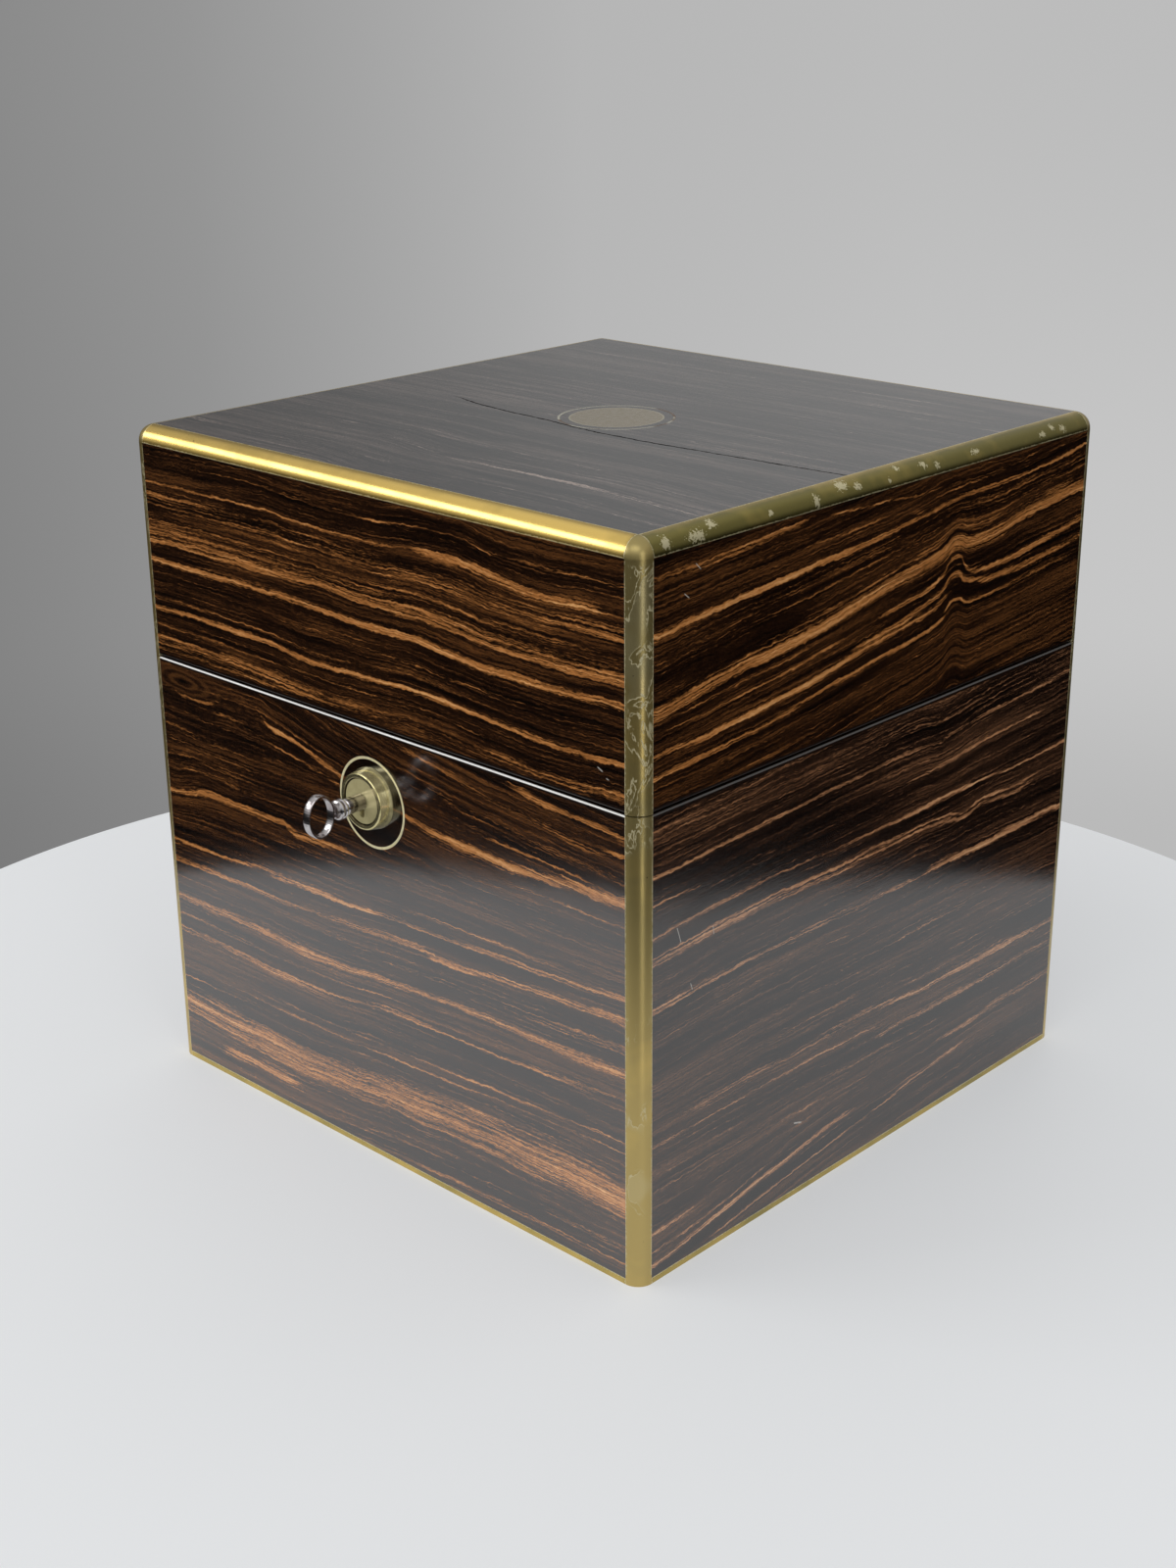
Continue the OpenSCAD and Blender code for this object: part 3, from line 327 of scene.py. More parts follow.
# A stripe is its line over the sheet, as pairs of place along and height; half its
# breadth, at one or at both ends; and how thickly the pale fibres lie in it.
LID_FRONT = [
    ([(-115, 234.5), (-60, 235.2), (0, 233.3), (60, 232), (115, 231.6)], 0.35, 0.5),
    ([(20, 226.9), (35, 226.6), (55, 225.5), (80, 222.8), (110, 223.8)], (0.6, 1.6), 1.0),
    ([(-115, 226.6), (-60, 227.4), (-20, 225.6), (0, 225.5), (24, 226.8)], 0.5, 0.7),
    ([(-115, 220), (-60, 220.6), (0, 219), (60, 217.6), (115, 217)], (4.2, 3.2), 0.42),
    ([(-115, 213.6), (-60, 213.4), (0, 212.6), (50, 211), (115, 210)], (1.0, 0.8), 0.5),
    ([(-115, 208.2), (-60, 208.6), (-18, 208.9), (0, 207.6), (40, 206.4), (70, 205), (115, 204.6)],
     (2.9, 2.6), 0.62),
    ([(-115, 205.9), (-60, 206), (-18, 206.4), (0, 205.2), (40, 204), (70, 202.4), (115, 202.2)],
     (0.8, 0.9), 0.9),
    ([(-115, 198.6), (-60, 198.6), (-20, 198.4), (0, 197.5), (20, 198), (40, 196.5), (60, 195.2),
      (80, 195), (115, 195.4)], (1.0, 1.25), 1.0),
    ([(-60, 190.6), (0, 189.6), (60, 187.6), (115, 188)], 0.35, 0.45),
    ([(-115, 185), (-60, 184.6), (-20, 182.6), (0, 183), (20, 183.6)], 0.35, 0.6),
    ([(-115, 181.2), (-60, 181), (-20, 178.6), (0, 179), (20, 180), (40, 179.3), (60, 178),
      (80, 177), (115, 178)], (1.0, 0.9), 1.0),
    ([(-115, 174.8), (-60, 174.4), (0, 173.6), (60, 172.6)], 0.4, 0.5),
    ([(-115, 169.6), (-60, 169), (-20, 167.6), (20, 168), (60, 167.4), (115, 167)],
     (2.9, 1.6), 0.52),
    ([(-115, 166.2), (-60, 166), (-10, 166)], 0.8, 0.7),
]
BASE_FRONT = [
    ([(-112, 151.5), (-100, 150), (-85, 151.3), (-78, 154.5)], 0.7, 0.9),
    ([(-62, 157), (-50, 149.5), (-38, 147.5), (-20, 142.5), (0, 138), (20, 134.5), (32, 132.2)],
     (1.1, 0.7), 0.95),
    ([(18, 134.8), (35, 132), (60, 131.9), (90, 133), (115, 133.4)], 1.7, 0.95),
    ([(-90, 149), (-60, 145.5), (-40, 142), (-20, 138.5), (0, 134)], 0.6, 0.55),
    ([(-110, 145), (-90, 143.6), (-64, 141), (-40, 136.6)], 0.5, 0.4),
    ([(10, 160), (20, 158), (40, 155), (60, 151.5), (80, 150), (100, 147), (115, 149)], 0.9, 0.6),
    ([(60, 161.4), (80, 157), (100, 156), (115, 153.6)], (0.8, 1.2), 0.95),
    ([(20, 150.5), (40, 146), (60, 144), (115, 140.6)], 0.9, 0.55),
    ([(16, 155), (40, 150), (62, 147.6), (84, 146.4)], 0.5, 0.4),
    ([(50, 138.2), (80, 137.5), (104, 136)], 0.4, 0.85),
    ([(-115, 137), (-90, 136), (-62, 134)], 0.9, 0.42), ([(-115, 132), (-60, 130.6)], 1.0, 0.42),
    ([(-115, 127), (-90, 126.4), (-58, 125.6)], 0.9, 0.4),
    ([(-115, 122.4), (-64, 121.6)], 0.9, 0.38),
    ([(-115, 110.8), (-104, 112), (-90, 114.5), (-60, 114.5), (-50, 115.5), (-40, 113),
      (-20, 114), (-6, 113.5)], 1.3, 1.0),
    ([(56, 125.8), (112, 125.4)], 0.5, 0.45), ([(8, 100.8), (60, 103), (92, 103)], 0.5, 0.5),
    ([(-115, 91.5), (-80, 92), (-60, 94), (-20, 94), (0, 95.5), (40, 97), (60, 98.3), (80, 99),
      (115, 101.4)], (0.7, 0.95), 0.85),
    ([(-115, 83.5), (-60, 84.5), (-20, 86), (0, 87.5), (20, 89), (30, 87.5), (60, 90.5), (80, 92),
      (115, 94.5)], 1.15, 0.8),
    ([(76, 83.5), (115, 85.5)], 0.6, 0.6),
    ([(-30, 78), (0, 79), (60, 81.6), (115, 83)], (1.2, 1.0), 0.42),
    ([(-115, 68.3), (-60, 68.5), (-40, 68), (-20, 69), (0, 71), (40, 73), (80, 74.5), (115, 76)],
     1.55, 0.86),
    ([(-115, 61), (-40, 61), (0, 64.5), (20, 66)], 0.5, 0.6),
    ([(-115, 55), (-60, 54.5), (-20, 57), (0, 60), (40, 61), (80, 64), (115, 67)], (1.5, 0.9), 0.6),
    ([(-60, 43), (0, 45), (60, 49), (115, 52)], 0.4, 0.55),
    ([(-80, 39), (0, 41.5), (60, 45.6), (115, 48.4)], 0.4, 0.55),
    ([(-115, 35), (0, 38), (60, 42), (115, 44)], 0.4, 0.6),
    ([(-115, 23.5), (-80, 23), (-40, 23.3), (-20, 24.4), (0, 26.5), (40, 29), (60, 30),
      (115, 30.3)], (5.6, 7.0), 0.8),
    ([(-98, 10.3), (-80, 11.3), (-60, 12), (-42, 11)], 1.9, 0.95),
    ([(-40, 7), (0, 10), (115, 13)], 1.2, 0.45), ([(-30, 4), (115, 7)], 0.8, 0.35),
]
LID_RIGHT = [
    ([(-115, 233.4), (-80, 235), (-60, 236.5), (-38, 238.5)], 1.0, 0.7),
    ([(-38, 237.5), (0, 235.8), (20, 235), (70, 236), (87, 239)], 0.3, 0.7),
    ([(-115, 216.6), (-80, 219.5), (-60, 221), (-45, 222), (-20, 223.5), (0, 226), (20, 228),
      (40, 230.5), (60, 231), (80, 231.5), (115, 235.4)], (1.15, 0.5), 0.95),
    ([(6, 231), (14, 229.4), (24, 227.4)], 0.9, 0.8),
    ([(-60, 229), (0, 231), (60, 235), (115, 238)], 0.4, 0.4),
    ([(-115, 210), (-60, 214.5), (0, 219.5), (60, 224.5), (115, 229)], 4.5, 0.28),
    ([(-115, 192.6), (-100, 194.5), (-80, 197.5), (-60, 199), (-40, 201.5), (-20, 204.5), (0, 208),
      (20, 210.5), (30, 213), (37, 215), (45, 213.5), (60, 214), (80, 217.5), (100, 220),
      (115, 220.3)], 2.1, 0.97),
    ([(-100, 197.6), (-60, 202.4), (-20, 208.4), (20, 214.6), (36, 218.4), (60, 218.4), (112, 224)],
     (1.4, 2.2), 0.5),
    ([(-10, 197.6), (0, 199), (20, 201.5), (30, 206), (38, 210), (42, 206), (48, 203), (60, 202.5),
      (80, 204), (115, 208.8)], (0.6, 1.0), 0.85),
    ([(-24, 190.6), (0, 193.5), (20, 197), (30, 200), (37, 204.5), (42, 201), (50, 199.5),
      (60, 198.5), (80, 199), (115, 202.3)], 1.1, 0.8),
    ([(-115, 180), (-80, 181.5), (-60, 183.5), (-40, 185), (-20, 188.5), (0, 191.5), (20, 193.5),
      (30, 196.5), (40, 201)], 0.95, 0.95),
    ([(-115, 172.8), (-80, 175.5), (-60, 177), (-40, 180), (-20, 182.5), (0, 185), (20, 187),
      (30, 190), (38, 195), (45, 192.5), (60, 193), (112, 196.6)], (1.0, 0.7), 0.72),
    ([(-115, 186.6), (-60, 190.6), (-20, 196)], 0.35, 0.6),
    ([(-115, 190), (-60, 194.6), (-30, 198)], 0.35, 0.5),
    ([(-90, 169), (-40, 173), (0, 178), (40, 182)], 0.4, 0.4),
]
BASE_RIGHT = [
    ([(-115, 156), (0, 157), (115, 158)], 5.5, 0.26),
    ([(-115, 141.4), (-80, 143), (-40, 144.5), (0, 146), (20, 146.5), (33, 145.5), (40, 146.5),
      (60, 148.5), (80, 149.5), (115, 151.6)], 0.65, 0.85),
    ([(-80, 139), (0, 141), (60, 140)], 0.5, 0.4),
    ([(8, 135), (40, 137), (60, 138.5), (104, 140.8)], 0.45, 0.7),
    ([(-115, 132.5), (-84, 132.6)], 0.5, 0.75), ([(-68, 133), (-50, 133)], 0.5, 0.7),
    ([(-115, 122), (-60, 124), (0, 123.3), (60, 124), (80, 123), (115, 124)], 0.5, 0.9),
    ([(-115, 115), (-60, 117.5), (-20, 116.4), (0, 117.4), (40, 116.4), (50, 114.4), (60, 116.4),
      (80, 115), (98, 116.4)], 0.55, 0.85),
    ([(-115, 113), (-60, 115.4), (-20, 114.5), (0, 115.3), (40, 114.4), (50, 112.5), (60, 114.4),
      (80, 113), (98, 114.2)], 0.8, 0.8),
    ([(-115, 96.8), (-80, 98.5), (-40, 98.5), (30, 98.3)], (1.3, 0.9), 0.72),
    ([(22, 98.3), (40, 99), (60, 98), (100, 99), (115, 98)], 1.3, 1.0),
    ([(-90, 89), (40, 90)], 0.4, 0.45), ([(-60, 77), (60, 78)], 0.4, 0.4),
    ([(-100, 65), (30, 65)], 0.4, 0.45),
    ([(-104, 56), (-20, 55.5), (-5, 56), (10, 54.5), (25, 53), (60, 52), (115, 51.5)], 1.4, 0.66),
    ([(-115, 49.5), (-60, 50), (-20, 49), (22, 47)], 0.45, 0.65),
    ([(-4, 45.3), (20, 43), (40, 43.5), (115, 43)], 2.1, 0.48),
    ([(-34, 39.7), (0, 38), (20, 37), (48, 36)], 0.6, 0.6),
    ([(-115, 33), (-65, 34), (-40, 32), (4, 30)], 0.5, 0.45),
    ([(38, 28.5), (60, 27.5), (75, 29), (115, 30)], 1.3, 0.62),
    ([(-115, 6), (-100, 8), (-80, 11), (-60, 14.5), (-40, 17), (-20, 19.5), (-4, 20.2)],
     0.85, 0.95),
    ([(-115, 11), (-80, 14), (-60, 18), (-38, 19.6)], 0.5, 0.7),
    ([(-115, 18), (-88, 18.5)], 0.6, 0.7),
    ([(-92, 3), (-60, 7), (-20, 12), (0, 14), (40, 19), (62, 20.5)], 0.45, 0.7),
]
LID_TOP = [
    ([(18, 93), (115, 93.4)], 0.9, 0.36), ([(56, 75), (115, 75.3)], 0.7, 0.32),
    ([(26, 67.5), (115, 67.6)], 0.9, 0.36), ([(-60, 51), (115, 51.4)], 0.9, 0.3),
    ([(-115, 88), (0, 89)], 0.8, 0.28), ([(-115, 40), (-20, 41)], 0.8, 0.25),
    ([(-30, -11.5), (60, -13), (115, -13.6)], 1.2, 0.3),
    ([(-40, -75), (-18, -78), (0, -82)], 0.5, 0.35),
    ([(-4, -83.4), (20, -81.5), (60, -82), (80, -84.5), (115, -86.4)], 2.0, 0.5),
    ([(-115, -60), (-20, -62), (60, -64)], 0.8, 0.25),
    ([(-115, -99), (0, -100), (115, -103)], 1.0, 0.28),
]

# How far the fibres rise, against where they pass the middle of the sheet: for each height
# there, pairs of place along and rise.
LID_FRONT_FLOW = [
    (178, [(-110, 2.5), (-60, 2), (-20, -0.5), (0, 0), (20, 1), (40, 0.3), (60, -1), (80, -2),
           (110, -1)]),
    (200, [(-110, 1), (-20, 1), (0, 0), (20, 0.5), (40, -1), (60, -2.5), (110, -2)]),
    (229, [(-110, 1.2), (-60, 2), (-20, 0.1), (0, 0), (20, 1.3), (40, 2), (60, -1), (80, -2.5),
           (110, -1.5)]),
]
BASE_FRONT_FLOW = [
    (25, [(-112, -3.2), (-80, -3.8), (-40, -3.3), (-20, -1.9), (0, 0), (20, 1.2), (40, 2.5),
          (60, 3.5), (115, 3.8)]),
    (70, [(-112, -2.7), (-60, -2.5), (-40, -3), (-20, -2), (0, 0), (20, 1), (60, 3), (115, 5)]),
    (92, [(-112, -3.8), (-60, -2.5), (-20, -1.5), (0, 0), (20, 1.2), (60, 2.9), (115, 5.5)]),
    (114, [(-112, -2.5), (-90, 1), (-60, 1), (0, 0), (115, 0)]),
    (133, [(-112, 3), (-20, 3), (0, 0), (20, -3.5), (40, -6), (60, -6), (110, -5)]),
    (143, [(-112, 13), (-60, 14), (-50, 12), (-20, 4.5), (0, 0), (20, -3.5), (40, -6), (60, -8),
           (110, -12)]),
]
LID_RIGHT_FLOW = [
    (180, [(-112, -10), (-60, -7), (0, 0), (30, 4.5), (38, 8), (46, 5.5), (60, 6.5), (112, 10)]),
    (208, [(-112, -15), (-80, -10.5), (-40, -6.5), (0, 0), (20, 2.5), (30, 5), (37, 7.5),
           (45, 5.5), (60, 6), (80, 9.5), (112, 12)]),
    (228, [(-112, -9), (-60, -5), (0, 0), (40, 4.5), (80, 5.5), (112, 9)]),
]
BASE_RIGHT_FLOW = [
    (20, [(-112, -13), (-60, -6), (-20, -1), (0, 0), (60, 3), (112, 4)]),
    (40, [(-112, 2), (-40, 1), (0, 0), (60, -2), (112, -2)]),
    (98, [(-112, -1.5), (-60, 1), (0, 0), (40, 0.5), (112, -0.5)]),
    (146, [(-112, -4.5), (-40, -1.5), (0, 0), (20, 0.5), (33, -0.5), (60, 2.5), (112, 5.5)]),
]
LID_TOP_FLOW = [
    (-80, [(-115, 4), (-40, 5), (0, 0), (60, 0), (115, -5)]), (0, [(-115, 0), (115, 0)]),
]


def line(wood, u, points, spread):
    """A smooth line over the sheet: its height for each place along, within a spread."""
    made = wood.tree.nodes.new("ShaderNodeFloatCurve")
    low = min(v for _, v in points) - 1
    high = low + spread
    curve = made.mapping.curves[0]
    while len(curve.points) < len(points):
        curve.points.new(0.5, 0.5)
    for point, (at, height) in zip(curve.points, points):
        point.location = ((at + EDGE) / (2 * EDGE), (height - low) / spread)
        point.handle_type = "AUTO_CLAMPED"
    made.mapping.extend = "HORIZONTAL"
    made.mapping.update()
    wood.tree.links.new(u, made.inputs["Value"])
    return wood.times(made.outputs[0], spread, low)


def fibre_height(wood, v, share, levels):
    """The height at which the fibre through a point passes the middle of the sheet."""
    total, below, below_line = None, None, None
    for height, points in levels:
        this = line(wood, share, [(at, height + rise) for at, rise in points], FIBRE_RANGE)
        if total is None:
            total = wood.minus(wood.calc("MINIMUM", v, this), wood.minus(this, height))
        else:
            step = wood.fade(v, below_line, this, 0.0, height - below, smooth=False)
            total = wood.plus(total, step)
        below, below_line = height, this
    past = wood.calc("MAXIMUM", wood.minus(v, below_line), 0.0)
    return wood.plus(total, past)


def stripe_density(wood, u, v, share, stripes, seed):
    """How thickly pale fibres lie at a point u along and v across the sheet, from 0 to 1."""
    total = None
    swell = wood.noise(wood.stretched(u, v, seed, 0.03, 0.2), 1, 3, 0.6)
    swell = wood.fade(swell, 0.25, 0.75, 0.62, 1.4, smooth=False)
    for points, half, strength in stripes:
        begin, end = points[0][0], points[-1][0]
        off = wood.apart(v, line(wood, share, points, STRIPE_RANGE))
        if isinstance(half, tuple):
            half = wood.fade(share, 0, 1, *half, smooth=False)
        wide = wood.times(swell, half)
        band = wood.fade(wood.calc("DIVIDE", off, wide), 0.3, 1.8, strength, 0.0)
        if begin > -EDGE:
            band = wood.times(band, wood.fade(u, begin - 2, begin + TAPER))
        if end < EDGE:
            band = wood.times(band, wood.fade(u, end - TAPER, end + 2, 1.0, 0.0))
        total = band if total is None else wood.calc("MAXIMUM", total, band)
    return total


def streak(wood, u, v, from_uv, to_uv, half_breadth):
    """A mask for one thin straight mark."""
    along = Vector(to_uv) - Vector(from_uv)
    length = along.length
    along.normalize()
    du = wood.minus(u, from_uv[0])
    dv = wood.minus(v, from_uv[1])
    run = wood.times(du, along.x, wood.times(dv, along.y))
    off = wood.times(du, -along.y, wood.times(dv, along.x))
    near = wood.fade(wood.calc("ABSOLUTE", off), half_breadth * 0.4, half_breadth, 1.0, 0.0)
    ends = wood.fade(wood.apart(run, length / 2), length / 2 - 0.6, length / 2, 1.0, 0.0)
    return wood.times(near, ends)


def veneer(name, across, along, stripes, flow, seed, polish=1.75, knot=None, crack=None,
           marks=(), bleached=0.0, darkened_round=None):
    """A polished sheet. across and along say which of x, y and z run which way. bleached is how
    far its colour has faded, and darkened_round where it is darker within a circle: place and
    radius."""
    wood = Finish(name)
    xyz = wood.place()
    u, v = xyz[along], xyz[across]
    share = wood.fade(u, -EDGE, EDGE, smooth=False)
    # Small waves in all that is drawn.
    ripple = wood.noise(wood.stretched(u, v, seed + 1, 0.05, 0.06), 1, 2)
    tremble = wood.noise(wood.stretched(u, v, seed + 2, 0.3, 0.5), 1, 2)
    shift = wood.times(wood.minus(ripple, 0.5), 2.0, wood.times(wood.minus(tremble, 0.5), 1.3))
    curl = wood.noise(wood.stretched(u, v, seed + 4, 0.9, 0.8), 1, 2)
    shift = wood.times(wood.minus(curl, 0.5), 0.6, shift)
    v = wood.plus(v, shift)
    if knot:
        at, height, reach_u, reach_v = knot
        du = wood.calc("DIVIDE", wood.minus(u, at), reach_u)
        dv = wood.calc("DIVIDE", wood.minus(v, height), reach_v)
        far = wood.reach(du, dv)
        near_knot = wood.fade(far, 0.3, 1.1, 1.0, 0.0)
    lie = fibre_height(wood, v, share, flow)
    density = stripe_density(wood, u, v, share, stripes, seed + 10)
    # The fibres, from broad zones to flecks.
    zone = wood.noise(wood.stretched(u, lie, seed + 20, 0.006, 0.11), 1, 3, 0.6)
    streaks = wood.noise(wood.stretched(u, lie, seed + 25, 0.007, 0.42), 1, 2, 0.6)
    lines = wood.noise(wood.stretched(u, lie, seed + 30, 0.011, 1.05), 1, 3, 0.75)
    fibre = wood.noise(wood.stretched(u, lie, seed + 40, 0.07, 2.6), 1, 3, 0.65)
    fleck = wood.noise(wood.stretched(u, lie, seed + 50, 0.4, 3.2), 1, 2, 0.6)
    rough = wood.times(lines, 0.42, wood.times(fibre, 0.24))
    rough = wood.times(streaks, 0.16, rough)
    rough = wood.minus(wood.times(fleck, 0.18, rough), 0.5)
    # The dark ground, and the pale stripes in it.
    level = wood.times(rough, 6.0, density)
    amount = wood.fade(level, 0.3, 0.95)
    brown = wood.times(rough, 6.0, wood.fade(zone, 0.32, 0.68, 0.26, 0.78))
    ground = wood.ramp(brown, [(0.0, INK), (0.5, DARK_BROWN), (1.0, BROWN)])
    light = wood.times(rough, 4.2, wood.times(density, 0.5, 0.06))
    glow = wood.ramp(light, [(0.1, BROWN), (0.34, STRIPE_DEEP), (0.62, STRIPE), (1.0, STRIPE_PALE)])
    colour = wood.mix(amount, ground, glow)
    if knot:
        rings = wood.calc("SINE", wood.times(lines, 3.0, wood.times(far, 22.0)))
        shade = wood.times(near_knot, wood.fade(rings, -0.6, 1.0, 0.0, 0.35))
        colour = wood.mix(wood.times(near_knot, 0.8), colour, DARK_BROWN)
        colour = wood.mix(shade, colour, STRIPE_DEEP)
        colour = wood.mix(wood.fade(far, 0.06, 0.16, 1.0, 0.0), colour, INK)
    # The polish, and what has happened to it.
    height = wood.times(fibre, 0.35)
    coat = 1.0
    if crack:
        gap = stripe_density(wood, u, v, share, [crack], seed + 60)
        coat = wood.minus(1.0, gap)
        colour = wood.mix(gap, colour, INK)
        height = wood.minus(height, wood.times(gap, 2.0))
    # Darker within a circle: the wood inside the lock's brass line is drawn darker.
    if darkened_round:
        at, height, reach = darkened_round
        du, dv = wood.minus(u, at), wood.minus(xyz[across], height)
        far = wood.reach(du, dv)
        colour = wood.mix(wood.fade(far, reach - 1.0, reach + 0.5, 0.8, 0.0), colour, INK)
    if bleached:
        colour = wood.add("HueSaturation", named={
            "Saturation": 1 - bleached, "Value": 1 - 0.4 * bleached, "Color": colour})
    for mark in marks:
        scratch = streak(wood, u, xyz[across], *mark)
        colour = wood.mix(wood.times(scratch, 0.8), colour, SCRATCH)
    swell = wood.noise(wood.stretched(u, v, seed + 80, 0.02, 0.05), 1, 2)
    height = wood.times(swell, 2.5, height)
    skin = wood.bump(height, 0.25, 0.00012)
    return wood.shade(
        Base_Color=colour, Roughness=0.5, Specular_IOR_Level=0.0,
        Normal=wood.bump(fibre, 0.2, 0.0001), Coat_Weight=coat, Coat_IOR=polish,
        Coat_Roughness=POLISH_ROUGH, Coat_Normal=skin)


X, Y, Z = 0, 1, 2
KNOT = (-101.0, 155.3, 25.0, 6.6)  # its place along, its height, and its reach each way
# A crack is drawn as a stripe is. A mark is where it starts and ends, and half its breadth.
CRACK = ([(-72, -11), (-60, -14), (-40, -17.5), (-20, -19), (20, -23), (40, -22.5), (60, -21.5),
          (80, -20), (115, -17.5)], 0.4, 0.95)
LOCK_PLACE = (0.0, 135.6, 15.4)  # the wood inside the lock's brass line: middle and radius
CHIPS = [((-42.5, 28.5), (-38.0, 27.0), 0.4), ((-103.0, 122.0), (-101.0, 116.0), 0.2),
         ((-96.5, 101.0), (-95.5, 98.0), 0.2), ((-86.0, 117.0), (-85.6, 113.5), 0.18)]
SCUFF = [((103.0, 174.8), (105.5, 173.6), 0.3), ((106.5, 172.0), (108.0, 171.6), 0.25)]
SCRATCHES = [((-96.0, 235.0), (-93.5, 232.6), 0.2), ((-101.0, 227.0), (-98.5, 225.0), 0.2)]
VENEERS = [
    ("base_front", Z, X, BASE_FRONT, BASE_FRONT_FLOW, 3.0,
     {"knot": KNOT, "polish": 2.08, "darkened_round": LOCK_PLACE}),
    ("lid_front", Z, X, LID_FRONT, LID_FRONT_FLOW, 7.0, {"marks": SCUFF}),
    ("base_right", Z, Y, BASE_RIGHT, BASE_RIGHT_FLOW, 11.0,
     {"marks": CHIPS, "polish": 1.9, "bleached": 0.12}),
    ("lid_right", Z, Y, LID_RIGHT, LID_RIGHT_FLOW, 15.0, {"marks": SCRATCHES}),
    ("lid_top", Y, X, LID_TOP, LID_TOP_FLOW, 19.0,
     {"crack": CRACK, "polish": 2.05, "bleached": 0.6}),
    ("base_back", Z, X, BASE_RIGHT, BASE_RIGHT_FLOW, 23.0, {}),
    ("lid_back", Z, X, LID_FRONT, LID_FRONT_FLOW, 27.0, {}),
    ("base_left", Z, Y, BASE_FRONT, BASE_FRONT_FLOW, 31.0, {}),
    ("lid_left", Z, Y, LID_FRONT, LID_FRONT_FLOW, 35.0, {}),
]
for side, across, along, stripes, flow, seed, extra in VENEERS:
    sheet = veneer("veneer_" + side, across, along, stripes, flow, seed, **extra)
    dress([side + "_veneer"], sheet)

# Rim strips.
# Thin strips of plain dark wood face the rims of base and lid. Along the front, the base
# strip's rounded outer edge carries a painted highlight: a pale line, the light line along the
# joint.
ARRIS_HIGHLIGHT = (0.86, 0.85, 0.82)
BASE_RIM_TOP = 162.0
ARRIS_START = 119.45  # the painted highlight starts this far from the box's middle
ARRIS_HALF = (0.22, 0.38)  # half the painted highlight's breadth, where it is full and where it ends
FRONT_TO_SIDE = (-119.3, -118.8)


def rim_wood():
    wood = Finish("rim_wood")
    x, y, z = wood.place()
    grain = wood.noise(wood.stretched(x, y, 0.0, 0.4, 0.4), 1, 4)
    outermost = wood.calc("MAXIMUM", wood.calc("ABSOLUTE", x), wood.calc("ABSOLUTE", y))
    # Painted highlight: the rounded edge of the base's rim is drawn pale, fully on the front and
    # faintly on the sides.
    wear_and_highlight = wood.fade(wood.apart(z, BASE_RIM_TOP - 0.2), *ARRIS_HALF, 1.0, 0.0)
    wear_and_highlight = wood.times(wood.fade(outermost, ARRIS_START, ARRIS_START + 0.15), wear_and_highlight)
    wear_and_highlight = wood.times(wear_and_highlight, wood.fade(y, *FRONT_TO_SIDE, 1.0, 0.1))
    colour = wood.ramp(grain, [(0.35, INK), (0.7, DARK_BROWN)])
    glossy = wood.times(wood.fade(y, *FRONT_TO_SIDE, 1.0, 0.12),
                        wood.fade(z, BASE_RIM_TOP, BASE_RIM_TOP + 0.3, 1.0, 0.3))
    return wood.shade(Base_Color=wood.mix(wear_and_highlight, colour, ARRIS_HIGHLIGHT), Roughness=0.35,
                      Specular_IOR_Level=0.1, Coat_Weight=glossy, Coat_Roughness=POLISH_ROUGH,
                      Coat_IOR=1.6)


dress(["base_rim_facing", "lid_rim_facing"], rim_wood())

# Brass edging.
# Quarter-round brass on every edge of the top and down the four corners, let in level
# with the veneer, and a thin strip round the foot. Old lacquer has dulled and flaked it. Its
# right-hand side is also painted darker as shade, and the corners are painted lighter low
# down as the floor's reflection.
BRASS_GOLD = (0.86, 0.60, 0.17)
BRASS_DULL = (0.36, 0.29, 0.095)
# An olive of dulled lacquer, darker still as painted shade on the right-hand top edge.
BRASS_OLIVE_AND_SHADE = (0.20, 0.17, 0.05)
BRASS_CORNER = (0.34, 0.27, 0.105)
# Painted reflection: the corners' lower colour is lighter and golder, as the pale floor would show
# in them.
BRASS_LOWER_FLOOR_REFLECTION = (0.49, 0.37, 0.14)
BRASS_FLAKE = (0.66, 0.60, 0.38)
# The dark of pits in the brass, and of the painted shade in the lock's groove.
BRASS_PIT_AND_SHADE = (0.05, 0.035, 0.02)
WOOD_LINE = 114.1  # where the brass meets the veneer, from the box's middle
TOP_LINE = 240.1
FOOT_LINE = 2.2
RIGHT_SIDE = (112, 117)  # the brass turns from its front look to its right one between these
LOW_TO_HIGH = (60, 150)  # and the corners from their lower colour, painted lighter as the floor's reflection, to their upper one
PEELED_FROM = (140, 170)  # the corners' lacquer has lifted more above this
DOME = (237, 239)  # and not at all on their domes
PEEL_LINES = (0.45, 0.54)
# Where lacquer has come off the right-hand edge: place along, height, and reach each way.
BARE_PLACES = [
    (-108, 243, 2.4, 2.2), (-95, 242.6, 4.6, 2.0), (-87, 244.4, 2.6, 1.3), (-61, 243, 1.3, 1.2),
    (-39, 242.4, 1.9, 2.6), (-25, 244.6, 3.6, 1.6), (-18, 243.2, 2.2, 1.7), (-2, 242.6, 1.2, 1.0),
    (4, 245, 1.8, 0.8), (17, 244, 2.4, 1.2), (24, 243, 1.5, 1.4), (46, 243.6, 2.8, 1.0),
    (86, 243, 2.2, 1.3), (93, 244.2, 1.7, 1.2), (99, 243, 2.4, 1.5),
]


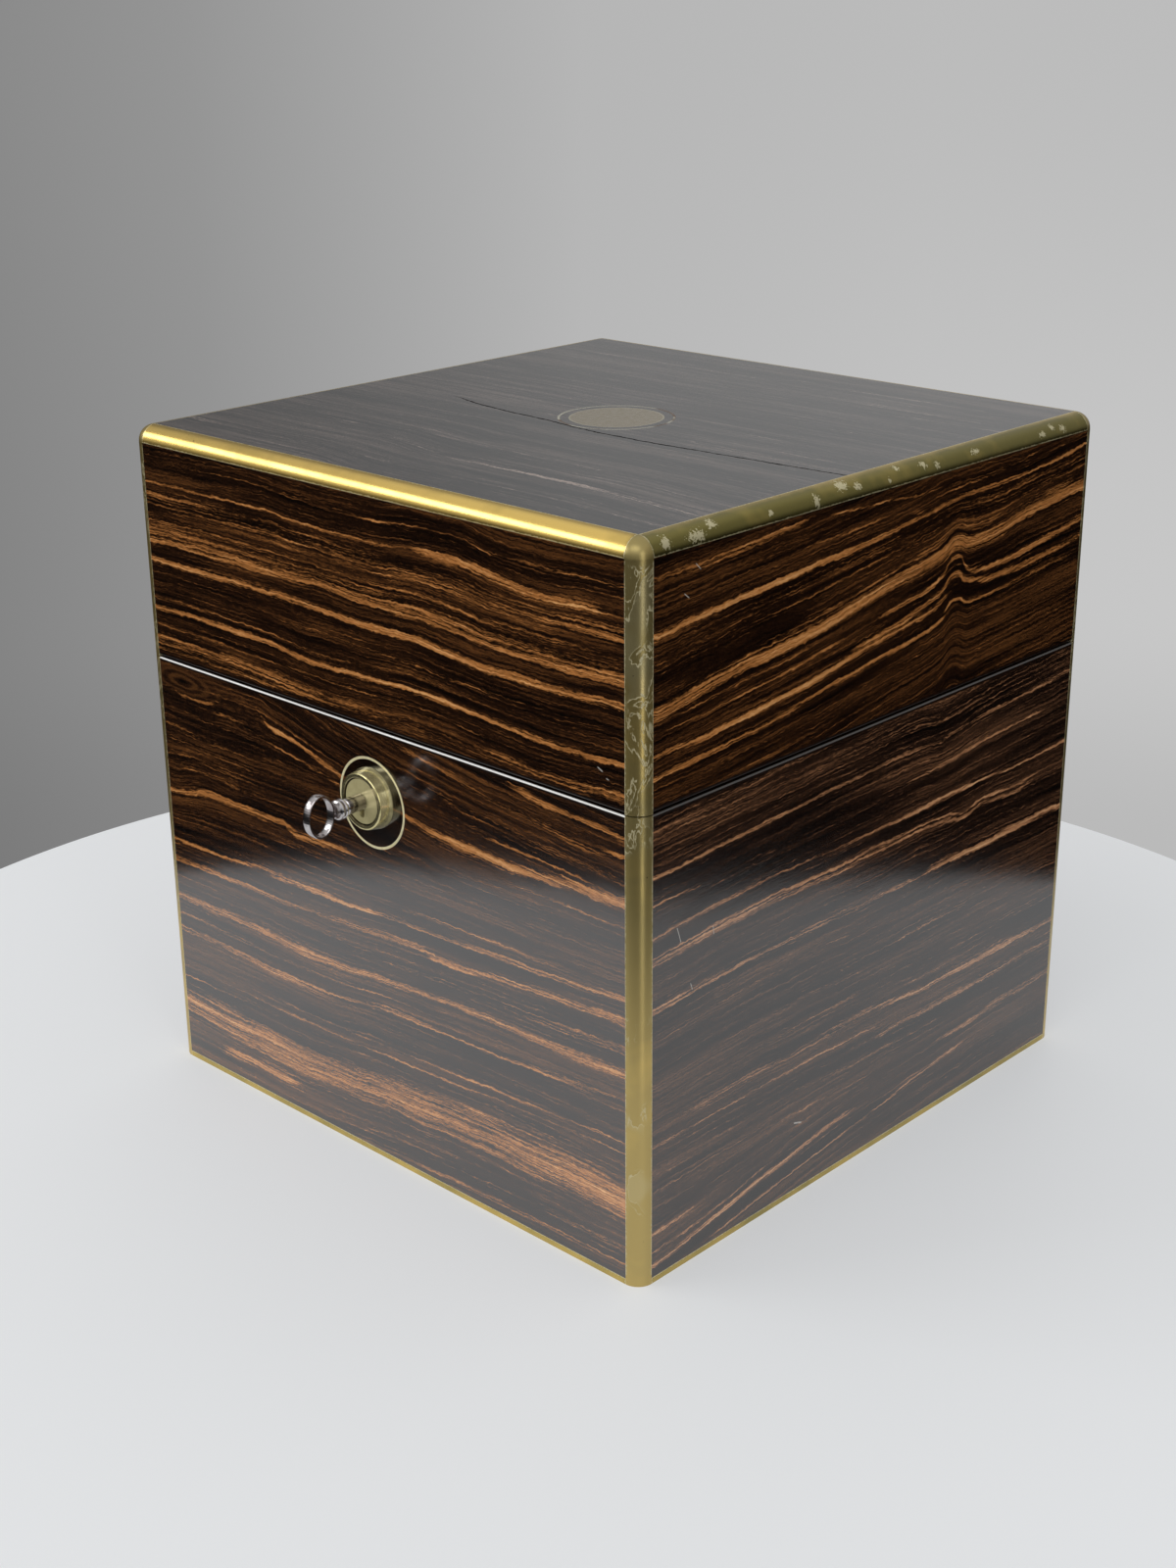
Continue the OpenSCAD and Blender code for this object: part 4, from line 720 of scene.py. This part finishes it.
def edging_brass(name, dull_and_shade, metal, dull_colour, rough, peeled=0.0, bare_places=()):
    """Lacquered brass. dull_and_shade is how much of the dull colour it takes on the front and on
    the right: dulled lacquer, and on the right painted shade too. rough is its least and most
    roughness, and peeled how much has lifted in thin wandering lines."""
    brass = Finish(name)
    x, y, z = brass.place()
    point = brass.joined(x, y, z)
    cloud = brass.noise(point, 0.04, 3, 0.6)
    patch = brass.noise(point, 0.2, 5, 0.6, 0.3)
    fine = brass.noise(point, 1.2, 3, 0.6)
    off = None
    for value, lie in ((x, WOOD_LINE), (y, WOOD_LINE), (z, TOP_LINE), (z, FOOT_LINE)):
        this = brass.apart(brass.calc("ABSOLUTE", value), lie)
        off = this if off is None else brass.calc("MINIMUM", off, this)
    ragged = brass.times(brass.minus(fine, 0.5), 1.2, off)
    wear_and_highlight = brass.times(brass.fade(ragged, 0.12, 0.4, 0.8, 0.0), brass.fade(patch, 0.3, 0.45))
    if peeled:
        wear_and_highlight = brass.times(wear_and_highlight, brass.fade(z, TOP_LINE - 1.0, TOP_LINE - 0.4, 1.0, 0.0))
        wear_and_highlight = brass.times(wear_and_highlight, brass.fade(z, FOOT_LINE + 0.8, FOOT_LINE + 1.8))
    # Painted shade in part: the right-hand side takes more of the dull colour than the front.
    front, right = dull_and_shade
    right_side = brass.fade(x, *RIGHT_SIDE)
    share = brass.fade(x, *RIGHT_SIDE, front, right)
    share = brass.plus(share, brass.fade(cloud, 0.3, 0.7, -0.2, 0.2))
    if peeled:
        # Painted reflection: the corners grow lighter and golder towards the foot.
        dull_colour = brass.mix(brass.fade(z, *LOW_TO_HIGH), BRASS_LOWER_FLOOR_REFLECTION, dull_colour)
    colour = brass.mix(share, BRASS_GOLD, dull_colour)
    scale = wear_and_highlight
    if peeled:
        film = brass.noise(brass.stretched(x, y, z, 0.12, 0.12, 0.065), 1, 4, 0.55, 0.5)
        zone = brass.noise(point, 0.035, 2)
        lower = brass.fade(z, *PEELED_FROM, 0.14, 0.0)
        zone = brass.fade(brass.minus(zone, lower), 0.42, 0.48)
        zone = brass.times(zone, brass.fade(z, *DOME, 1.0, 0.0))
        for level in PEEL_LINES:
            thin = brass.fade(brass.apart(film, level), 0.004, 0.014, peeled, 0.0)
            scale = brass.calc("MAXIMUM", scale, brass.times(thin, zone))
        cleared = brass.fade(film, PEEL_LINES[1], PEEL_LINES[1] + 0.01, 0.0, 0.22)
        cleared = brass.times(cleared, zone)
        colour = brass.mix(cleared, colour, BRASS_FLAKE)
    for at, height, reach_y, reach_z in bare_places:
        dy = brass.calc("DIVIDE", brass.minus(y, at), reach_y)
        dz = brass.calc("DIVIDE", brass.minus(z, height), reach_z)
        far = brass.reach(dy, dz)
        far = brass.times(brass.minus(fine, 0.5), 3.0, far)
        bare = brass.times(brass.fade(far, 0.55, 0.7, 0.85, 0.0), right_side)
        scale = brass.calc("MAXIMUM", scale, bare)
    colour = brass.mix(scale, colour, BRASS_FLAKE)
    spots = brass.add("TexVoronoi", point, named={"Scale": 0.16, "Randomness": 1.0})
    dots = brass.fade(brass.times(fine, 0.08, spots), 0.06, 0.09, 0.8, 0.0)
    colour = brass.mix(dots, colour, BRASS_PIT_AND_SHADE)
    rough = brass.times(scale, 0.2, brass.fade(cloud, 0.3, 0.7, *rough))
    height = brass.times(scale, 0.8, brass.times(patch, 0.4))
    return brass.shade(Base_Color=colour, Roughness=rough,
                       Metallic=brass.times(scale, -0.3, metal),
                       Normal=brass.bump(height, 0.3, 0.0001))


dress(["lid_edge_brass"], edging_brass("edge_brass", (0.05, 1.0), 0.95, BRASS_OLIVE_AND_SHADE, (0.18, 0.28),
                                       bare_places=BARE_PLACES))
dress(["base_corner_brass", "lid_corner_brass"],
      edging_brass("corner_brass", (0.85, 0.95), 0.8, BRASS_CORNER, (0.3, 0.38), peeled=0.75))
dress(["base_foot_brass"], edging_brass("foot_brass", (0.7, 0.85), 0.85, BRASS_DULL, (0.2, 0.3)))

# Inlays.
# A plain brass disc in the middle of the top, a brass line round it, and another line
# round the lock, all let into the veneer and polished level with it.
PALE_LINE = (0.78, 0.74, 0.56)


def inlay_brass(name, colour, wear_and_highlight, metal, rim=None, lost=False):
    """Inlaid brass. rim is the radius where a disc's polish is brighter, and lost says that
    stretches of a line have gone dull under the polish."""
    brass = Finish(name)
    x, y, z = brass.place()
    point = brass.joined(x, y, z)
    scuff = brass.noise(point, 0.5, 4, 0.6)
    fine = brass.noise(point, 2.2, 3, 0.6)
    tint = brass.mix(brass.fade(scuff, 0.3, 0.7), colour, wear_and_highlight)
    if rim:
        radius = brass.reach(x, y)
        tint = brass.mix(brass.fade(radius, rim - 0.6, rim, 0.0, 0.6), tint, PALE_LINE)
    if lost:
        gone = brass.fade(brass.noise(point, 0.07, 2), 0.42, 0.48, 0.9, 0.0)
        tint = brass.mix(gone, tint, BROWN)
    return brass.shade(Base_Color=tint, Metallic=metal, Normal=brass.bump(fine, 0.2, 0.00006),
                       Roughness=brass.fade(scuff, 0.3, 0.7, 0.25, 0.4))


# Each inlay: its node, its finish, its colour polished and worn, and how metallic it is.
INLAYS = [
    ("lid_disc_inlay", "disc_brass", (0.53, 0.46, 0.35), (0.43, 0.38, 0.28), 1.0, {"rim": 16.6}),
    ("lid_ring_inlay", "top_line_brass", (0.62, 0.60, 0.48), (0.40, 0.38, 0.30), 0.6,
     {"lost": True}),
    ("lock_ring_inlay", "lock_line_brass", (1.0, 0.92, 0.60), (0.86, 0.76, 0.44), 0.25, {}),
]
for inlay, finish, polished, wear_and_highlight, metal, extra in INLAYS:
    dress([inlay], inlay_brass(finish, polished, wear_and_highlight, metal, **extra))

# Linings, dividers and pads.
# Boards covered in silk velvet line the walls and part the decanters. A thin velvet pad
# lies on the floor, a quilted one is glued under the top, and baize covers the underside.
PAD_STEP = 1.5  # between two points of a pad's mesh
QUILT = 32.0  # from one stitched line of the lid's pad to the next
QUILT_DEEP = 3.2
QUILT_REACH = 96  # how far from its middle the pad has buttons
BUTTON_RADIUS = 4.0
BUTTON_FLAT = 0.55
BUTTON_SUNK = 0.4
PAD_SIDE = 0.3  # how thick a pad is at its very edge, against its middle
NAVY = srgb(14, 20, 54)
BLUE = srgb(50, 64, 122)


def velvet(name, deep, sheen, crushed=0.05, seam_shade_and_sheen=False):
    cloth = Finish(name)
    x, y, z = cloth.place()
    point = cloth.joined(x, y, z)
    nap = cloth.noise(point, 3.0, 3, 0.7)
    crush = cloth.noise(point, crushed, 3, 0.55)
    rub = cloth.noise(point, 0.4, 3, 0.6)
    share = cloth.fade(cloth.times(rub, 0.2, crush), 0.4, 0.85, 0.25, 0.85)
    colour = cloth.mix(cloth.fade(nap, 0.3, 0.7, 0.0, 0.35), cloth.mix(share, deep, sheen), deep)
    if seam_shade_and_sheen:
        # Painted shade and sheen: each stitched line is drawn dark, with a paler band of painted
        # sheen beside it.
        for turn in ("ADD", "SUBTRACT"):
            way = cloth.times(cloth.calc(turn, x, y), 1 / (math.sqrt(2) * QUILT))
            off = cloth.apart(cloth.calc("FRACT", cloth.plus(way, 100.5)), 0.5)
            colour = cloth.mix(cloth.fade(off, 0.008, 0.06, 0.8, 0.0), colour, deep)
            colour = cloth.mix(cloth.fade(off, 0.08, 0.22, 0.45, 0.0), colour, sheen)
    return cloth.shade(Base_Color=colour, Roughness=0.9, Sheen_Weight=0.5,
                       Sheen_Roughness=0.35, Sheen_Tint=sheen,
                       Normal=cloth.bump(nap, 0.6, 0.0004))


def pad(name, stands_for, body, cover, up, roll, dip=None, buttons=()):
    """A flat stuffed form in the space of one node, with its show side up or down. roll is how
    broad its rounded edge is, and dip how far it sinks in at a point."""
    low, high = (Vector(corner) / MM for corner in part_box(stands_for))
    thick = high.z - low.z
    across = round((high.x - low.x) / PAD_STEP)
    deep = round((high.y - low.y) / PAD_STEP)
    mesh = bmesh.new()
    button_height = high.z - thick + QUILT_DEEP - BUTTON_SUNK
    for x, y in buttons:
        place = Matrix.Translation((x * MM, y * MM, button_height * MM))
        flat = Matrix.Diagonal((1.0, 1.0, BUTTON_FLAT, 1.0))
        bmesh.ops.create_uvsphere(mesh, u_segments=20, v_segments=10,
                                  radius=BUTTON_RADIUS * MM, matrix=place @ flat)
    sides = []
    for face_side in (True, False):
        rows = []
        for j in range(deep + 1):
            y = low.y + (high.y - low.y) * j / deep
            row = []
            for i in range(across + 1):
                x = low.x + (high.x - low.x) * i / across
                edge = min(x - low.x, high.x - x, y - low.y, high.y - y)
                full = math.sqrt(1 - (1 - min(edge / roll, 1)) ** 2)
                tall = thick * (PAD_SIDE + (1 - PAD_SIDE) * full)
                if dip:
                    tall -= dip(x, y) * min(edge / (2 * roll), 1)
                tall = tall if face_side else 0.0
                row.append(mesh.verts.new(
                    (x * MM, y * MM, (low.z + tall if up else high.z - tall) * MM)))
            rows.append(row)
        sides.append(rows)
    for rows in sides:
        for j in range(deep):
            for i in range(across):
                mesh.faces.new((rows[j][i], rows[j][i + 1], rows[j + 1][i + 1], rows[j + 1][i]))
    rims = [[rows[0][i] for i in range(across)] + [rows[j][across] for j in range(deep)]
            + [rows[deep][i] for i in range(across, 0, -1)]
            + [rows[j][0] for j in range(deep, 0, -1)] for rows in sides]
    for i in range(len(rims[0])):
        k = (i + 1) % len(rims[0])
        mesh.faces.new((rims[0][i], rims[0][k], rims[1][k], rims[1][i]))
    bmesh.ops.recalc_face_normals(mesh, faces=mesh.faces)
    data = bpy.data.meshes.new(name)
    mesh.to_mesh(data)
    mesh.free()
    for face in data.polygons:
        face.use_smooth = True
    data.materials.append(cover)
    piece = bpy.data.objects.new(name, data)
    bpy.context.scene.collection.objects.link(piece)
    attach(piece, body)
    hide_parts(stands_for)
    return piece


def stitched(x, y):
    """How far the quilting pulls the lid's pad in: two sets of slanting lines."""
    deep = 0.0
    for way in ((x + y) / math.sqrt(2), (x - y) / math.sqrt(2)):
        off = abs((way / QUILT + 0.5) % 1.0 - 0.5)
        deep = max(deep, QUILT_DEEP * (1 - math.sqrt(1 - (1 - min(2 * off, 1)) ** 2) ** 0.8))
    return deep


def crossings(reach):
    """Where two stitched lines cross, as places along x and y within a reach."""
    step = QUILT / math.sqrt(2)
    count = round(reach / step)
    return [(step * (i + j), step * (i - j)) for i in range(-count, count + 1)
            for j in range(-count, count + 1)
            if abs(step * (i + j)) < reach and abs(step * (i - j)) < reach]


def settled(x, y):
    """How far a decanter's foot has pressed the floor pad down beside the bare velvet."""
    return 0.18 * (0.5 + 0.5 * math.sin(x * 0.31 + 1.3 * math.sin(y * 0.23)))


blue = velvet("blue_velvet", NAVY, BLUE)
quilted_blue = velvet("quilted_velvet", NAVY, BLUE, seam_shade_and_sheen=True)
dress(["base_lining", "lid_lining", "divider_long", "divider_cross"], blue)
floor_cover = pad("floor_pad_cover", "floor_pad", "base", blue, True, 3.5, settled)
quilt = pad("lid_pad_quilt", "lid_pad", "lid", quilted_blue, False, 4.5, stitched,
            crossings(QUILT_REACH))
green = velvet("green_baize", srgb(26, 52, 30), srgb(40, 74, 44), 0.02)
baize = pad("baize_sheet", "underside_baize", "base", green, False, 0.5)

# Decanters and stoppers.
# Four square bottles of cut lead glass with domed shoulders, and ball stoppers ground
# into their necks.


def cut_glass():
    glass = Finish("cut_glass")
    x, y, z = glass.place()
    seed = glass.noise(glass.joined(x, y, z), 0.08, 2)
    return glass.shade(Base_Color=(0.96, 0.98, 0.98), Roughness=0.02, IOR=1.54,
                       Transmission_Weight=1.0, Normal=glass.bump(seed, 0.1, 0.0005))


glass = cut_glass()
SIDES = ["front_left", "front_right", "back_left", "back_right"]
dress(["decanter_" + s for s in SIDES] + ["stopper_" + s for s in SIDES], glass)

# Hinges, lock and screws.
# Cast and filed brass: two stop hinges at the back, the lock with its turned barrel and
# plug, and the plate with two links that its bolt catches.
LOCK_HEIGHT = 137.5
PLUG_RADIUS = 8.1
BARREL_RADIUS = 9.9
BOX_FRONT = (-118, -119)  # brass past this is outside the box
BARREL_FOOT = (-122, -121)  # where the barrel widens to its foot
LOCK_LIGHT = (0.74, 0.66, 0.36)
LOCK_DARK = (0.50, 0.44, 0.21)
PLUG_FACE = (0.86, 0.76, 0.40)


def lock_brass():
    brass = Finish("lock_brass")
    x, y, z = brass.place()
    point = brass.joined(x, y, z)
    smear = brass.noise(point, 0.35, 4, 0.65)
    fine = brass.noise(point, 2.5, 3, 0.6)
    radius = brass.reach(x, brass.minus(z, LOCK_HEIGHT))
    turned = brass.noise(brass.joined(brass.times(radius, 3.0), 0.0), 1, 2)
    colour = brass.mix(brass.fade(smear, 0.3, 0.7), LOCK_LIGHT, LOCK_DARK)
    outside = brass.fade(y, *BOX_FRONT)
    # Painted shade: the narrow groove between the plug and the barrel is drawn dark.
    gap = brass.fade(brass.apart(radius, PLUG_RADIUS + 0.1), 0.16, 0.3, 0.9, 0.0)
    colour = brass.mix(brass.times(gap, outside), colour, BRASS_PIT_AND_SHADE)
    face = brass.fade(radius, PLUG_RADIUS - 0.4, PLUG_RADIUS - 0.1, 1.0, 0.0)
    face = brass.times(outside, face)
    foot = brass.fade(radius, BARREL_RADIUS, BARREL_RADIUS + 0.1)
    foot = brass.times(brass.times(brass.fade(y, *BARREL_FOOT), foot), outside)
    plain = brass.calc("MAXIMUM", face, brass.times(foot, 0.5))
    colour = brass.mix(brass.times(face, 0.6), colour, PLUG_FACE)
    skin = brass.bump(brass.times(fine, 0.4, turned), 0.12, 0.00005)
    return brass.shade(Base_Color=colour, Metallic=brass.times(plain, -0.5, 0.9), Normal=skin,
                       Roughness=brass.fade(smear, 0.3, 0.7, 0.13, 0.22))


dress(["lock_barrel", "lock_plug", "lock_case", "lock_cap", "lock_bolt", "link_plate",
       "hinge_base_leaf_left", "hinge_base_leaf_right", "hinge_lid_leaf_left",
       "hinge_lid_leaf_right", "hinge_base_screws", "hinge_lid_screws", "lock_screws",
       "link_screws", "lock_links"], lock_brass())

# Key.
# Steel, turned and filed, with an oval ring to hold. Its hollow shank runs on the pin
# inside the lock. The hinge pins and the lock's spring are steel too.
STEEL_LIGHT = (0.56, 0.54, 0.54)
STEEL_DARK = (0.40, 0.36, 0.36)
STEEL_SHANK_DARK = (0.10, 0.09, 0.085)
SHANK_START = -131.8  # the shank is darker from here to the lock


def key_steel():
    steel = Finish("key_steel")
    x, y, z = steel.place()
    point = steel.joined(x, y, z)
    smear = steel.noise(point, 0.25, 3, 0.6)
    colour = steel.mix(steel.fade(smear, 0.35, 0.7), STEEL_LIGHT, STEEL_DARK)
    dark_shank = steel.fade(y, SHANK_START, SHANK_START + 0.8, 0.0, 0.6)
    colour = steel.mix(dark_shank, colour, STEEL_SHANK_DARK)
    return steel.shade(Base_Color=colour, Metallic=1.0,
                       Roughness=steel.fade(smear, 0.3, 0.7, 0.15, 0.22))


dress(["key", "hinge_pins", "lock_spring"], key_steel())

# Smooth shading.
# Turned, rounded and blown faces shade smoothly, and edges sharper than an angle stay
# crisp. It is a modifier, so that the solids stay as they are.
CRISP_ANGLE = 32
KEY_CRISP_ANGLE = 58  # the key's filed ring has long facets that its wear has rounded


def soft_shading(name, crisp):
    group = bpy.data.node_groups.new(name, "GeometryNodeTree")
    group.interface.new_socket("Geometry", in_out="INPUT", socket_type="NodeSocketGeometry")
    group.interface.new_socket("Geometry", in_out="OUTPUT", socket_type="NodeSocketGeometry")
    start, end = group.nodes.new("NodeGroupInput"), group.nodes.new("NodeGroupOutput")
    faces = group.nodes.new("GeometryNodeSetShadeSmooth")
    edges = group.nodes.new("GeometryNodeSetShadeSmooth")
    faces.domain, edges.domain = "FACE", "EDGE"
    angle = group.nodes.new("GeometryNodeInputMeshEdgeAngle")
    gentle = group.nodes.new("FunctionNodeCompare")
    gentle.operation = "LESS_THAN"
    gentle.inputs[1].default_value = math.radians(crisp)
    group.links.new(angle.outputs[0], gentle.inputs[0])
    group.links.new(start.outputs[0], faces.inputs["Geometry"])
    group.links.new(faces.outputs[0], edges.inputs["Geometry"])
    group.links.new(gentle.outputs[0], edges.inputs["Shade Smooth"])
    group.links.new(edges.outputs[0], end.inputs[0])
    return group


soft = soft_shading("soft_shading", CRISP_ANGLE)
soft_key = soft_shading("soft_key_shading", KEY_CRISP_ANGLE)
for name, part in node.items():
    part.modifiers.new("soft_shading", "NODES").node_group = soft_key if name == "key" else soft
